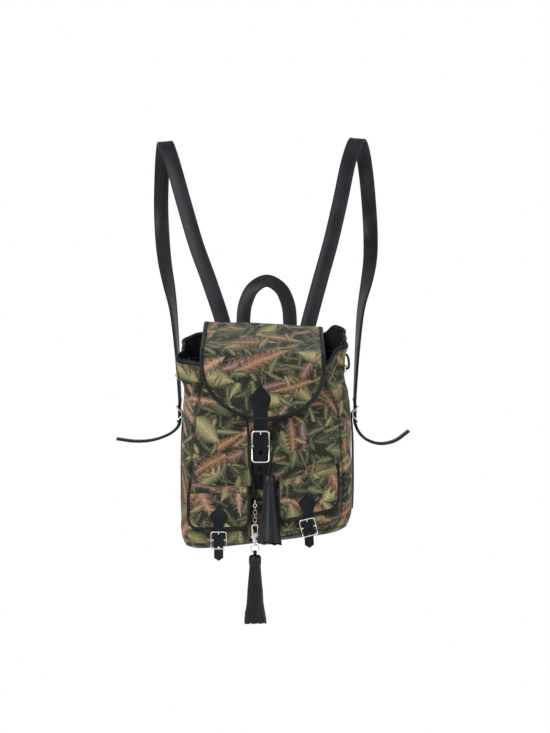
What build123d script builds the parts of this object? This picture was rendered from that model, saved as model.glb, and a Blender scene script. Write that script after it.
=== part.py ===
import os
from math import atan, cos, exp, pi, radians, sin, sqrt, tan

from build123d import *

os.makedirs("parts", exist_ok=True)

# The bag hangs as it is worn. Depths run back from the middle of the sack, heights run up from its
# underside, and the origin lies on the wearer's shoulders, midway between the crests of the straps.
crest_depth = 118
crest_height = 521

# clearances
seat_gap = 0.3
slide_gap = 0.3
pivot_gap = 0.1
link_gap = 0.4
lining_gap = 1
eyelet_gap = 0.8
ring_gap = 0.35
lace_lift = 1
lace_tuck = 1.2

# sack
belly_width = 214
belly_depth = 116
neck_width = 200
neck_depth = 98
base_height = 9.5
belly_height = 92
waist_height = 128
buckle_height = 164
shoulder_height = 198
gather_height = 214
eyelet_height = 227
rim_height = 250
cloth_thick = 2.0
lining_thick = 1.0
base_roll = 0.118
rim_roll = 0.043
rim_pitch = 0.47
fold_depth = 2.2
fold_count = 16
corner_power = 3.2
ear_bulge = 10
front_seam_depth = -42
rear_seam_depth = 36
base_seam_height = 7

# mouth binding, eyelets and drawstring
binding_thick = 1.3
binding_height = 8
eyelet_count = 8
eyelet_flange = 11
eyelet_bore = 5.6
eyelet_wall = 0.8
lace_diameter = 3
lace_bend = 3

# flap
flap_half_width = 75.5
flap_centre = -1
flap_bottom = 159
flap_curve_height = 222
flap_thick = 3
flap_slope = 0.046
flap_sewn_height = 229
edge_tape = 5
edge_tape_thick = 0.8

# main closure
closure_x = -3.6
closure_height = 127.6
closure_depth = -61.3
closure_tilt = 4
main_strap_width = 17
main_strap_thick = 2
main_patch_width = 25
main_frame_width = 22.6
main_frame_length = 39.6
main_wire = 2.2
main_bar = 1.2
main_leather = 1.2
strap_gap = 0.2

# pockets
pocket_width = 75
pocket_height = 67
pocket_depth = 20
pocket_wall = 1.6
pocket_flap_height = 50
pocket_flap_thick = 2
pocket_front = -78
left_pocket_x = -53.6
left_pocket_height = 45
right_pocket_x = 53.8
right_pocket_height = 60.5
right_pocket_slope = 0.24
pocket_strap_width = 11
pocket_strap_thick = 1.6
pocket_patch_width = 21
pocket_frame_width = 19.7
pocket_frame_length = 21.6
small_wire = 1.6
small_bar = 0.9
small_leather = 1

# shoulder straps, handle and side buckles
strap_width = 20
strap_thick = 3
handle_width = 18
handle_thick = 3.5
side_frame_width = 26
side_frame_length = 21.4
side_buckle_depth = 25
anchor_thick = 2

# charm chain and tassels
chain_x = -10.3
chain_depth = -70
chain_top = 54.5
link_wire = 1.2
link_length = 7.3
link_width = 5.4
link_count = 5
clasp_thick = 3
cord_end_top = 63
hook_wire = 1.8
hook_thick = 1.6
hook_width = 9
hook_length = 13.5
trigger_pin = (-2.2, -11.5)
pin_radius = 0.6
trigger_thick = 1.4
gate_top = -1.8
eye_drop = 22
eye_bore = 1.5
eye_wall = 1.2
tassel_ring_diameter = 11
tassel_ring_wire = 1.4
left_tassel_length = 86
left_tassel_width = 25
right_tassel_length = 86
right_tassel_width = 29
right_tassel_depth = 14
tassel_head = 15
slit = 0.7


def at(x, depth, height):
    return Vector(x, depth - crest_depth, height - crest_height)


def hand_in(block, name):
    block.part.label = name
    export_step(block.part, f"parts/{name}.step")


# The sack is a closed lathe-like form whose level sections are rounded rectangles. Each section has its
# own roll and pitch, so the underside slumps to the left and the mouth slopes down to the front.
neck_half = neck_width / 2
neck_deep = neck_depth / 2
belly_half = belly_width / 2
belly_deep = belly_depth / 2
sack_sections = [
    # height, middle, half width, half depth, roll, pitch, fold
    (base_height, 3, belly_half - 17, belly_deep - 14, base_roll, 0, 0),
    (base_height + 3, 3, belly_half - 9, belly_deep - 8, base_roll, 0, 0),
    (base_height + 12, 3, belly_half - 3, belly_deep - 3, base_roll, 0, 0),
    (base_height + 38, 3.5, belly_half - 0.5, belly_deep - 0.5, 0.7 * base_roll, 0, 0),
    (belly_height, 4, belly_half, belly_deep, 0.3 * base_roll, 0, 0),
    (waist_height, 4, belly_half - 0.7, belly_deep - 0.6, 0.1 * base_roll, 0.03, 0),
    (buckle_height, 4, belly_half - 2, belly_deep - 2, 0, 0.08, 0),
    (shoulder_height, 2, neck_half + 1, neck_deep + 3, 0.01, 0.22, 0.2 * fold_depth),
    (gather_height, 0, neck_half - 1, neck_deep + 1, 0.03, 0.34, 0.6 * fold_depth),
    (eyelet_height, 0, neck_half, neck_deep, 0.04, 0.45, 0.9 * fold_depth),
    (rim_height, 0, neck_half + 2.5, neck_deep, rim_roll, rim_pitch, fold_depth),
    (rim_height + 18, 0, neck_half + 3.5, neck_deep, rim_roll, rim_pitch, fold_depth),
]


def section_plane(height, roll, pitch):
    return Plane(origin=at(0, 0, height), x_dir=(1, 0, roll), z_dir=(-roll, -pitch, 1))


def section_point(turn, section, inset, crest=None):
    height, middle, half_width, half_depth, roll, pitch, fold = section
    swell = (abs(cos(turn)) ** corner_power + abs(sin(turn)) ** corner_power) ** (-1 / corner_power)
    ear = ear_bulge * fold / fold_depth * exp(-(((turn - 1.17 * pi) / 0.22) ** 2))
    wave = cos(fold_count * turn) if crest is None else crest
    reach = fold * wave + ear - inset
    x = middle + (half_width * swell + reach) * cos(turn)
    y = (half_depth * swell + reach) * sin(turn)
    return Vector(x, y * sqrt(1 + pitch**2))


def sack_form(inset, floor=0, sections=sack_sections, steps=4 * fold_count, crest=None):
    with BuildPart() as form:
        for section in sections:
            height, middle, half_width, half_depth, roll, pitch, fold = section
            lift = floor if section is sack_sections[0] else 0
            with BuildSketch(section_plane(height + lift, roll, pitch)):
                with BuildLine():
                    turns = [2 * pi * step / steps for step in range(steps)]
                    Spline(*[section_point(turn, section, inset, crest) for turn in turns], periodic=True)
                make_face()
        loft()
    return form.part


# The mouth is cut along a line that dips under the flap and rises to an ear at each side.
rim_slope = atan(rim_pitch)
rim_plane = Plane(
    origin=at(0, 0, rim_height), x_dir=(1, 0, 0), z_dir=(0, -cos(rim_slope), -sin(rim_slope))
)
rim_line = [(-140, 0), (-104, 2), (-86, 2), (-60, -1), (0, -4), (50, -6), (76, -6), (90, 6), (106, 5), (140, 0)]


def above_rim(rise):
    with BuildPart() as block:
        with BuildSketch(rim_plane):
            with BuildLine():
                edge = Spline(*[(x, y + rise) for x, y in rim_line])
                Polyline(edge @ 1, (140, 70), (-140, 70), edge @ 0)
            make_face()
        extrude(amount=140, both=True)
    return block.part


lining_inset = cloth_thick + lining_gap
mouth_inset = lining_inset + lining_thick
sack_outer = sack_form(0)


# Eyelets stand on the crests of the folds, spaced evenly round the neck.
eyelet_section = sack_sections[-3]
eyelet_turns = [radians(-67.5 + 45 * step) for step in range(eyelet_count)]


def neck_point(turn, section=eyelet_section, out=0, crest=None):
    height, middle, half_width, half_depth, roll, pitch, fold = section
    return section_plane(height, roll, pitch).from_local_coords(section_point(turn, section, -out, crest))


def neck_plane(turn):
    point = neck_point(turn)
    around = neck_point(turn + 0.01) - neck_point(turn - 0.01)
    up = neck_point(turn, sack_sections[-2]) - neck_point(turn, sack_sections[-4])
    return Plane(origin=point, x_dir=around, z_dir=around.cross(up))


barrel = eyelet_bore + 2 * eyelet_wall
barrel_length = eyelet_gap + mouth_inset + 2 * fold_depth + 1
cloth_rim = above_rim(-binding_height)


def punch(turns):
    with BuildPart() as holes:
        for turn in turns:
            with BuildSketch(neck_plane(turn)):
                Circle(barrel / 2 + seat_gap / 2)
            extrude(amount=12, both=True)
    return holes.part


with BuildPart() as eyelets:
    for turn in eyelet_turns:
        with BuildSketch(neck_plane(turn).offset(eyelet_gap)):
            Circle(eyelet_flange / 2)
            Circle(eyelet_bore / 2, mode=Mode.SUBTRACT)
        extrude(amount=eyelet_wall)
        with BuildSketch(neck_plane(turn).offset(eyelet_gap)):
            Circle(barrel / 2)
            Circle(eyelet_bore / 2, mode=Mode.SUBTRACT)
        extrude(amount=-barrel_length)
hand_in(eyelets, "eyelets")

# The sack is sewn from five panels of one cloth.
with BuildPart() as cloth_sack:
    add(sack_outer)
    add(sack_form(cloth_thick, cloth_thick), mode=Mode.SUBTRACT)
    add(cloth_rim, mode=Mode.SUBTRACT)

base_seam = section_plane(base_height + base_seam_height, base_roll, 0)
front_seam = Plane(origin=at(0, front_seam_depth, 0), z_dir=(0, 1, 0))
rear_seam = Plane(origin=at(0, rear_seam_depth, 0), z_dir=(0, 1, 0))
middle_seam = Plane(origin=at(0, 0, 0), z_dir=(1, 0, 0))

with BuildPart() as base_panel:
    add(cloth_sack.part)
    split(bisect_by=base_seam, keep=Keep.BOTTOM)
hand_in(base_panel, "base_panel")

with BuildPart() as walls:
    add(cloth_sack.part)
    split(bisect_by=base_seam, keep=Keep.TOP)

with BuildPart() as front_panel:
    add(walls.part)
    split(bisect_by=front_seam, keep=Keep.BOTTOM)
    add(punch([eyelet_turns[0], eyelet_turns[-1]]), mode=Mode.SUBTRACT)
hand_in(front_panel, "front_panel")

with BuildPart() as back_panel:
    add(walls.part)
    split(bisect_by=rear_seam, keep=Keep.TOP)
    add(punch(eyelet_turns[3:5]), mode=Mode.SUBTRACT)
hand_in(back_panel, "back_panel")

with BuildPart() as sides:
    add(walls.part)
    split(bisect_by=front_seam, keep=Keep.TOP)
    split(bisect_by=rear_seam, keep=Keep.BOTTOM)

for side, kept, turns in (("left", Keep.BOTTOM, eyelet_turns[5:7]), ("right", Keep.TOP, eyelet_turns[1:3])):
    with BuildPart() as gusset:
        add(sides.part)
        split(bisect_by=middle_seam, keep=kept)
        add(punch(turns), mode=Mode.SUBTRACT)
    hand_in(gusset, f"side_gusset_{side}")

with BuildPart() as lining:
    add(sack_form(lining_inset, lining_inset, steps=32, crest=-1))
    add(sack_form(mouth_inset, mouth_inset, steps=32, crest=-1), mode=Mode.SUBTRACT)
    add(cloth_rim, mode=Mode.SUBTRACT)
    add(punch(eyelet_turns), mode=Mode.SUBTRACT)
hand_in(lining, "lining")

# The binding closes cloth and lining together.
with BuildPart() as mouth_binding:
    add(sack_form(-binding_thick, sections=sack_sections[-4:]))
    add(sack_form(mouth_inset + binding_thick, -9, sack_sections[-4:], 32, -1), mode=Mode.SUBTRACT)
    add(above_rim(binding_thick), mode=Mode.SUBTRACT)
    add(cloth_rim, mode=Mode.INTERSECT)
hand_in(mouth_binding, "mouth_binding")

# views used for profiles: local x is the depth or the width, local y is the height
side_view = Plane(origin=at(0, 0, 0), x_dir=(0, 1, 0), z_dir=(1, 0, 0))
front_view = Plane(origin=at(0, 0, 0), x_dir=(1, 0, 0), z_dir=(0, -1, 0))

# Main closure: its plane leans forward with the flap. Locally x runs along the buckle's centre bar,
# y up the strap and z out of the bag.
lean = radians(closure_tilt)
closure = Plane(
    origin=at(closure_x, closure_depth, closure_height), x_dir=(1, 0, 0), z_dir=(0, -cos(lean), -sin(lean))
)
main_rest = main_bar + pivot_gap + main_leather + strap_gap
flap_out = main_rest - strap_gap


def on_closure(up, out):
    depth = closure_depth - up * sin(lean) - out * cos(lean)
    return depth, closure_height + up * cos(lean) - out * sin(lean)


# Flap: one strip from the back panel over the mouth and down to the closure, cut to its rounded outline.
flap_middle = flap_out - flap_thick / 2
flap_route = [
    on_closure(20, flap_middle),
    on_closure(88, flap_middle),
    (-53, 240),
    (57.6, 279),
    (57.6, 246),
    (53.2, flap_sewn_height),
]
flap_bends = [38, 14, 6, 8]


def flap_strip(thick):
    with BuildPart() as strip:
        with BuildSketch(side_view):
            with BuildLine():
                FilletPolyline(*flap_route, radius=flap_bends)
            trace(line_width=thick)
        extrude(amount=belly_half, dir=(1, 0, -flap_slope), both=True)
    return strip.part


def flap_outline(inset):
    half = flap_half_width - inset
    with BuildPart() as block:
        with BuildSketch(front_view):
            with Locations((flap_centre, flap_curve_height)):
                Ellipse(half, flap_curve_height - flap_bottom - inset)
                Rectangle(2 * half, rim_height / 2, align=(Align.CENTER, Align.MIN))
        extrude(amount=belly_width / 2, both=True)
    return block.part


with BuildPart() as flap:
    add(flap_strip(flap_thick))
    add(flap_outline(edge_tape_thick), mode=Mode.INTERSECT)
hand_in(flap, "flap")

with BuildPart() as flap_binding:
    add(flap_strip(flap_thick + 2 * edge_tape_thick))
    add(flap_outline(0), mode=Mode.INTERSECT)
    add(flap_outline(edge_tape), mode=Mode.SUBTRACT)
    add(flap.part, mode=Mode.SUBTRACT)
    with BuildSketch(closure.offset(flap_out)):
        Rectangle(main_strap_width + 2 * seat_gap, 2 * (flap_curve_height - closure_height))
    extrude(amount=4 * edge_tape_thick, mode=Mode.SUBTRACT)
hand_in(flap_binding, "flap_binding")


def frame_rise(rest, strap, wire):
    return rest + strap + slide_gap + wire / 2


def make_frame(name, plane, width, length, wire, bar, rise):
    half = length / 2
    bend = 1.4 * wire
    route = [(-half, rise), (bend - half, rise), (-bend, 0), (bend, 0), (half - bend, rise), (half, rise)]
    side = Plane(origin=plane.origin, x_dir=plane.y_dir, z_dir=plane.x_dir)
    with BuildPart() as frame:
        with BuildSketch(side):
            with BuildLine():
                FilletPolyline(*route, radius=wire)
            trace(line_width=wire)
        extrude(amount=width, both=True)
        with BuildSketch(plane):
            RectangleRounded(width, length, 2 * wire)
            RectangleRounded(width - 2 * wire, length - 2 * wire, wire, mode=Mode.SUBTRACT)
        extrude(amount=rise + 2 * wire, both=True, mode=Mode.INTERSECT)
        with BuildSketch(side):
            Circle(bar)
        extrude(amount=(width - wire) / 2, both=True)
    hand_in(frame, name)


def prong_path(length, wire, bar, rod, rise):
    over = rise + wire / 2 + rod + pivot_gap
    end = length / 2 - 2 * wire
    foot = end - 0.6 * (over - rod)
    return [(bar, rod), (foot, rod), (end, over), (length / 2 - wire / 4, over)]


def prong_slot(path, rest, strap, rod):
    foot, end = path[1], path[2]
    share = (rest + strap / 2 - foot[1]) / (end[1] - foot[1])
    return foot[0] + share * (end[0] - foot[0])


def make_prong(name, plane, path, bar, rod):
    side = Plane(origin=plane.origin, x_dir=plane.y_dir, z_dir=plane.x_dir)
    with BuildPart() as prong:
        with BuildSketch(side):
            Circle(bar + pivot_gap + rod)
        extrude(amount=1.3 * rod, both=True)
        with BuildSketch(side):
            with BuildLine():
                FilletPolyline(*path, radius=[2 * rod, 1.5 * rod])
            trace(line_width=2 * rod)
        extrude(amount=rod, both=True)
        with BuildSketch(side):
            Circle(bar + pivot_gap)
        extrude(amount=2 * rod, both=True, mode=Mode.SUBTRACT)
    hand_in(prong, name)


def chape_body(plane, bar, leather, width, drop, tuck, rod):
    side = Plane(origin=plane.origin, x_dir=plane.y_dir, z_dir=plane.x_dir)
    bore = bar + pivot_gap
    loop = bore + leather
    with BuildPart() as body:
        with BuildSketch(side):
            Circle(loop)
            with Locations((0, -loop)):
                Rectangle(drop, 2 * leather, align=(Align.MAX, Align.MIN))
            with Locations((-drop, -loop + 2 * leather)):
                Rectangle(2 * leather, 2 * leather + tuck, align=(Align.MIN, Align.MAX))
            Circle(bore, mode=Mode.SUBTRACT)
        extrude(amount=width / 2, both=True)
        with BuildSketch(plane):
            Rectangle(2.6 * rod + 2 * slide_gap, 2 * loop + 1)
        extrude(amount=2 * loop, both=True, mode=Mode.SUBTRACT)
    return body.part


def strap_sketch(width, patch, narrow, wide, tip, tail, slots, slot):
    with BuildSketch() as shape:
        with BuildLine():
            Polyline((0, tail), (-width / 2, tail + width / 3), (-width / 2, narrow))
            Spline(
                (-width / 2, narrow),
                (-patch / 2, wide),
                (0, tip),
                tangents=[(-0.1, 1), (0.75, 1)],
            )
            mirror(about=Plane.YZ)
        make_face()
        with Locations(*[(0, place) for place in slots]):
            SlotOverall(slot, 0.65 * slot, rotation=90, mode=Mode.SUBTRACT)
    return shape.sketch


# main buckle
main_rod = 0.8
main_rise = frame_rise(main_rest, main_strap_thick, main_wire)
main_path = prong_path(main_frame_length, main_wire, main_bar, main_rod, main_rise)
main_slot = prong_slot(main_path, main_rest, main_strap_thick, main_rod)
make_frame("main_buckle_frame", closure, main_frame_width, main_frame_length, main_wire, main_bar, main_rise)
make_prong("main_buckle_prong", closure, main_path, main_bar, main_rod)

with BuildPart() as flap_strap:
    with BuildSketch(closure.offset(main_rest)):
        add(
            strap_sketch(
                main_strap_width, main_patch_width, 42, 58, 75.5, -40, [main_slot, main_slot - 20, main_slot - 40], 5.6
            )
        )
    extrude(amount=main_strap_thick)
hand_in(flap_strap, "flap_strap")

chape_front = closure_depth + 0.6
with BuildPart() as buckle_chape:
    add(chape_body(closure, main_bar, main_leather, main_strap_width - 1, 7, 0, main_rod))
    with BuildSketch(Plane(origin=at(closure_x, chape_front, closure_height), x_dir=(1, 0, 0), z_dir=(0, -1, 0))):
        with Locations((0, -5)):
            Rectangle(main_strap_width - 1, 12, align=(Align.CENTER, Align.MAX))
        with Locations((0, -14)):
            Rectangle(23.4, 38, align=(Align.CENTER, Align.MAX))
    extrude(amount=-2 * main_leather)
hand_in(buckle_chape, "buckle_chape")

# Pockets: each is a pouch standing off the front panel, under its own buckled flap. On the right one the
# level edges slope up to the side, as the underside of the sack does.
low_clear = sack_form(-seat_gap, steps=32, crest=1)
small_rest = small_bar + pivot_gap + small_leather + strap_gap
small_rise = frame_rise(small_rest, pocket_strap_thick, small_wire)
small_rod = 0.6
small_tape = 0.6
pocket_tape = 4
bar_drop = 28.7
pocket_bar_depth = pocket_front - small_rest
pocket_flap_middle = pocket_bar_depth - small_rest + strap_gap + small_tape + pocket_flap_thick / 2
pocket_corner = 10


def pocket_outline(centre_x, centre_height, slope, half, low, high, corner):
    def place(across, up):
        return centre_x + across, centre_height + up + slope * across

    with BuildSketch() as outline:
        with BuildLine():
            left, right = place(-half, low), place(half, low)
            Polyline(left, right, place(half, high), place(-half, high), close=True)
        make_face()
        fillet([outline.vertices().sort_by_distance(left)[0], outline.vertices().sort_by_distance(right)[0]], corner)
    return outline.sketch


def pocket_block(outline, near, far):
    with BuildPart() as block:
        with BuildSketch(front_view.offset(-near)):
            add(outline)
        extrude(amount=near - far)
    return block.part


def pocket_flap_strip(centre_x, centre_height, slope, thick):
    route = [
        (pocket_flap_middle, centre_height - 30),
        (pocket_flap_middle, centre_height + 25),
        (-44, centre_height + 37),
    ]
    with BuildPart() as strip:
        with BuildSketch(Plane(origin=at(centre_x, 0, 0), x_dir=(0, 1, 0), z_dir=(1, 0, 0))):
            with BuildLine():
                FilletPolyline(*route, radius=9)
            trace(line_width=thick)
        extrude(amount=pocket_width, dir=(1, 0, slope), both=True)
    return strip.part


def turned(centre_x, height, turn):
    across = (cos(turn), 0, sin(turn))
    return Plane(origin=at(centre_x, pocket_bar_depth, height), x_dir=across, z_dir=(0, -1, 0))


def make_pocket(side, centre_x, centre_height, slope, strap_turn):
    half = pocket_width / 2
    low = -pocket_height / 2
    flap_low = pocket_height / 2 - pocket_flap_height
    outer = pocket_outline(centre_x, centre_height, slope, half, low, 17, pocket_corner)
    inner = pocket_outline(
        centre_x, centre_height, slope, half - pocket_wall, low + pocket_wall, 60, pocket_corner - pocket_wall
    )
    with BuildPart() as body:
        add(pocket_block(outer, pocket_front + pocket_depth * 2, pocket_front))
        fillet(body.faces().sort_by(Axis.Y)[0].edges().sort_by(Axis.Z)[:-1], 5)
        add(pocket_block(inner, 0, pocket_front + pocket_wall), mode=Mode.SUBTRACT)
        add(low_clear, mode=Mode.SUBTRACT)
    hand_in(body, f"pocket_body_{side}")

    flap_cut = pocket_outline(centre_x, centre_height, slope, half, flap_low, 80, 1.4 * pocket_corner)
    cloth_cut = pocket_outline(
        centre_x, centre_height, slope, half - small_tape, flap_low + small_tape, 80, 1.4 * pocket_corner
    )
    open_cut = pocket_outline(
        centre_x, centre_height, slope, half - pocket_tape, flap_low + pocket_tape, 80, pocket_corner
    )
    with BuildPart() as cover:
        add(pocket_flap_strip(centre_x, centre_height, slope, pocket_flap_thick))
        add(pocket_block(cloth_cut, 0, -100), mode=Mode.INTERSECT)
        add(low_clear, mode=Mode.SUBTRACT)
    hand_in(cover, f"pocket_flap_{side}")
    with BuildPart() as tape:
        add(pocket_flap_strip(centre_x, centre_height, slope, pocket_flap_thick + 2 * small_tape))
        add(pocket_block(flap_cut, 0, -100), mode=Mode.INTERSECT)
        add(pocket_block(open_cut, 0, -100), mode=Mode.SUBTRACT)
        add(low_clear, mode=Mode.SUBTRACT)
        add(cover.part, mode=Mode.SUBTRACT)
    hand_in(tape, f"pocket_binding_{side}")

    bar_height = centre_height - bar_drop
    frame_plane = turned(centre_x, bar_height, atan(slope))
    strap_plane = turned(centre_x, bar_height, strap_turn)
    path = prong_path(pocket_frame_length, small_wire, small_bar, small_rod, small_rise)
    slot = prong_slot(path, small_rest, pocket_strap_thick, small_rod)
    frame_size = (pocket_frame_width, pocket_frame_length, small_wire, small_bar, small_rise)
    make_frame(f"pocket_buckle_frame_{side}", frame_plane, *frame_size)
    make_prong(f"pocket_buckle_prong_{side}", frame_plane, path, small_bar, small_rod)
    with BuildPart() as strap:
        with BuildSketch(strap_plane.offset(small_rest)):
            outline = strap_sketch(
                pocket_strap_width, pocket_patch_width, 15, 30, 40.8, -24.7, [slot - 14], 4
            )
            add(outline)
        extrude(amount=pocket_strap_thick)
        with BuildSketch(frame_plane):
            with Locations((0, slot)):
                SlotOverall(4, 2.6, rotation=90)
        extrude(amount=2 * small_rest + pocket_strap_thick, mode=Mode.SUBTRACT)
    hand_in(strap, f"pocket_strap_{side}")
    drop = (pocket_height / 2 - bar_drop) * cos(atan(slope)) + seat_gap + 2 * small_leather
    with BuildPart() as chape:
        add(chape_body(frame_plane, small_bar, small_leather, pocket_strap_width + 1, drop, 12, small_rod))
    hand_in(chape, f"pocket_chape_{side}")


make_pocket("left", left_pocket_x, left_pocket_height, 0, 0)
make_pocket("right", right_pocket_x, right_pocket_height, right_pocket_slope, radians(3))


# Straps are ribbons lofted through stations: a place, and the direction that its width takes there.
def ribbon(stations, width, thick):
    places = [at(*station[:3]) for station in stations]
    with BuildPart() as band:
        for step, station in enumerate(stations):
            before = places[max(step - 1, 0)]
            after = places[min(step + 1, len(places) - 1)]
            with BuildSketch(Plane(origin=places[step], x_dir=station[3:], z_dir=after - before)):
                Rectangle(width, thick)
        loft()
    return band.part


sewn_depth = 57.6 + flap_thick / 2 + seat_gap
handle_depth = sewn_depth + handle_thick / 2
handle_left = -27
handle_right = 33
handle_middle = (handle_left + handle_right) / 2
handle_stations = [
    (handle_left, handle_depth, 249, 1, 0, 0),
    (handle_left, handle_depth, 264, 1, 0, 0),
    (handle_left, handle_depth + 1, 284, 1, 0, -0.05),
    (handle_left + 2, handle_depth + 3, 303, 1, -0.1, -0.2),
    (handle_left + 9, handle_depth + 5, 321, 0.75, -0.3, -0.65),
    (handle_left + 19, handle_depth + 6, 331, 0.3, -0.45, -0.85),
    (handle_middle, handle_depth + 6.5, 335, 0, -0.5, -0.87),
]
handle_stations += [
    (2 * handle_middle - x, depth, height, -across, deep, up)
    for x, depth, height, across, deep, up in reversed(handle_stations[:-1])
]
with BuildPart() as handle:
    add(ribbon(handle_stations, handle_width, handle_thick))
hand_in(handle, "handle")

strap_depth = sewn_depth + strap_thick / 2
side_rest = small_bar + pivot_gap + small_leather + strap_gap
side_rise = frame_rise(side_rest, strap_thick, small_wire)
side_path = prong_path(side_frame_length, small_wire, small_bar, small_rod, side_rise)
side_slot = prong_slot(side_path, side_rest, strap_thick, small_rod)
buckle_middle = sack_sections[6][1]
buckle_half = sack_sections[6][2]
side_bar = buckle_half + seat_gap + small_bar + pivot_gap + small_leather
side_strap = side_bar + side_rest + strap_thick / 2

left_route = [
    (-52, strap_depth, 249, 1, 0, 0),
    (-52.3, strap_depth, 264, 1, 0, 0),
    (-54.5, strap_depth + 1, 284, 1, 0, 0.2),
    (-71.5, 67, 335, 1, 0, 0.32),
    (-89, 75, 383, 1, 0, 0.33),
    (-106, 88, 440, 1, 0, 0.3),
    (-121, 101, 492, 1, 0, 0.25),
    (-131.7, 118, 521, 1, 0, 0.1),
    (-137, 150, 514, 1, 0, 0),
    (-141, 178, 487, 1, 0, 0),
    (-143, 192, 445, 1, 0, 0),
    (-141, 188, 402, 1, 0.2, 0),
    (-136, 165, 366, 0.9, 0.4, -0.1),
    (-128, 130, 332, 0.7, 0.6, -0.2),
    (-119, 92, 292, 0.4, 0.8, -0.4),
    (-112, 55, 240, 0.15, 0.9, -0.3),
]
right_route = [
    (53.5, strap_depth, 249, -1, 0, 0),
    (54, strap_depth, 264, -1, 0, 0),
    (57, strap_depth + 1, 279, -1, 0, 0.2),
    (72, 66, 335, -1, 0, 0.27),
    (86, 74, 385, -1, 0, 0.27),
    (99, 87, 440, -1, 0, 0.24),
    (111, 102, 495, -1, 0, 0.2),
    (122.6, 118, 525, -1, 0, 0.1),
    (131, 150, 517, -1, 0, 0),
    (138, 178, 489, -1, 0, 0),
    (143, 192, 447, -1, 0, 0),
    (145, 188, 405, -1, 0.2, 0),
    (143, 165, 369, -0.9, 0.4, -0.1),
    (136, 130, 335, -0.7, 0.6, -0.2),
    (126, 92, 294, -0.4, 0.8, -0.4),
    (119.5, 55, 240, -0.15, 0.9, -0.3),
]
left_tail = [(-111.5, 145), (-122, 137.5), (-141, 131), (-163, 129.5), (-186, 132.5)]
right_tail = [(120, 141), (130, 131.5), (146, 126.5), (165, 130), (183, 142.5)]


def make_side(side, sign, route, tail):
    wall_x = buckle_middle + sign * side_bar
    strap_x = buckle_middle + sign * side_strap
    plane = Plane(origin=at(wall_x, side_buckle_depth, buckle_height), x_dir=(0, sign, 0), z_dir=(sign, 0, 0))
    through = [(strap_x, side_buckle_depth, buckle_height + rise, 0, 1, 0) for rise in (22, 11, 0, -11)]
    loose = [(x, side_buckle_depth, height, 0, 1, 0) for x, height in tail]
    with BuildPart() as strap:
        add(ribbon(route + through + loose, strap_width, strap_thick))
        with BuildSketch(plane):
            with Locations((0, side_slot)):
                SlotOverall(4.5, 3, rotation=90)
        extrude(amount=2 * side_rest + strap_thick, mode=Mode.SUBTRACT)
    hand_in(strap, f"shoulder_strap_{side}")
    frame_size = (side_frame_width, side_frame_length, small_wire, small_bar, side_rise)
    make_frame(f"side_buckle_frame_{side}", plane, *frame_size)
    make_prong(f"side_buckle_prong_{side}", plane, side_path, small_bar, small_rod)
    reach = seat_gap + anchor_thick / 2
    with BuildPart() as anchor:
        add(chape_body(plane, small_bar, small_leather, strap_width, 12, 0, small_rod))
        hang = [
            (buckle_middle + sign * (half + reach), depth, height, 0, 1, 0)
            for half, depth, height in (
                (buckle_half, side_buckle_depth, buckle_height - 8),
                (buckle_half + 1.6, side_buckle_depth, 130),
                (belly_half, side_buckle_depth, belly_height + 8),
                (belly_half - 0.2, side_buckle_depth, 68),
                (belly_half - 1.4, side_buckle_depth, 45),
            )
        ]
        add(ribbon(hang, strap_width, anchor_thick))
        add(low_clear, mode=Mode.SUBTRACT)
    hand_in(anchor, f"anchor_strap_{side}")


make_side("left", -1, left_route, left_tail)
make_side("right", 1, right_route, right_tail)


# Laces and drawstring follow straight runs joined by arcs as large as the runs allow.
def lace_bends(points, largest):
    radii = []
    for before, corner, after in zip(points, points[1:], points[2:]):
        turn = radians((corner - before).get_angle(after - corner))
        run = min((corner - before).length, (after - corner).length)
        radii.append(min(largest, 0.45 * run / tan(turn / 2)))
    return radii


def make_lace(name, points, largest=400):
    radii = lace_bends(points, largest)
    with BuildPart() as lace:
        with BuildLine():
            path = FilletPolyline(*points, radius=radii)
        with BuildSketch(Plane(origin=path @ 0, z_dir=path % 0)):
            Circle(lace_diameter / 2)
        sweep()
    hand_in(lace, name)
    print(name, "length", round(path.length), "bends", [round(radius, 1) for radius in radii])


lace_out = eyelet_gap + eyelet_wall + lace_diameter / 2 + lace_lift
lace_in = barrel_length - eyelet_gap + lace_diameter


def beside(turn, out):
    plane = neck_plane(turn)
    return plane.origin + plane.z_dir * out


drawn = [beside(eyelet_turns[0], lace_out)]
for step, turn in enumerate(eyelet_turns):
    leaves = step % 2 == 1
    passes = [beside(turn, -lace_in), beside(turn, lace_out)]
    if step == 0:
        drawn += passes[:1]
    elif step == eyelet_count - 1:
        drawn += passes
    elif leaves:
        following = eyelet_turns[step + 1]
        drawn += passes
        for share in (0.3, 0.7):
            drawn.append(neck_point(turn + share * (following - turn), out=lace_out - lace_tuck, crest=1))
    else:
        drawn += passes[::-1]
make_lace("drawstring", drawn, lace_bend)

right_axis = Vector(0.01, -0.2, -0.98).normalized()
tassel_top = at(6.5, -77, 95)
right_lace = [
    beside(eyelet_turns[0], lace_out + seat_gap),
    beside(eyelet_turns[0], 6),
    at(38, -60.5, 197),
    at(28, -60.2, 178),
    at(17.5, -60.2, 156),
    at(12.3, -62, 134),
    at(11, -67, 116),
    tassel_top - right_axis * 9,
    tassel_top - right_axis * seat_gap,
]
left_lace = [
    beside(eyelet_turns[-1], lace_out + seat_gap),
    beside(eyelet_turns[-1], 6),
    at(-38, -60.5, 195),
    at(-29, -60.2, 178),
    at(-19.8, -60.4, 158),
    at(-18, -62, 137),
    at(-18.4, -64, 116),
    at(-16, -66.5, 97),
    at(-11.6, -69.5, 80),
    at(chain_x, chain_depth, cord_end_top + 4),
    at(chain_x, chain_depth, cord_end_top - 3),
]
make_lace("lace_end_right", right_lace)
make_lace("lace_end_left", left_lace)


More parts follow.
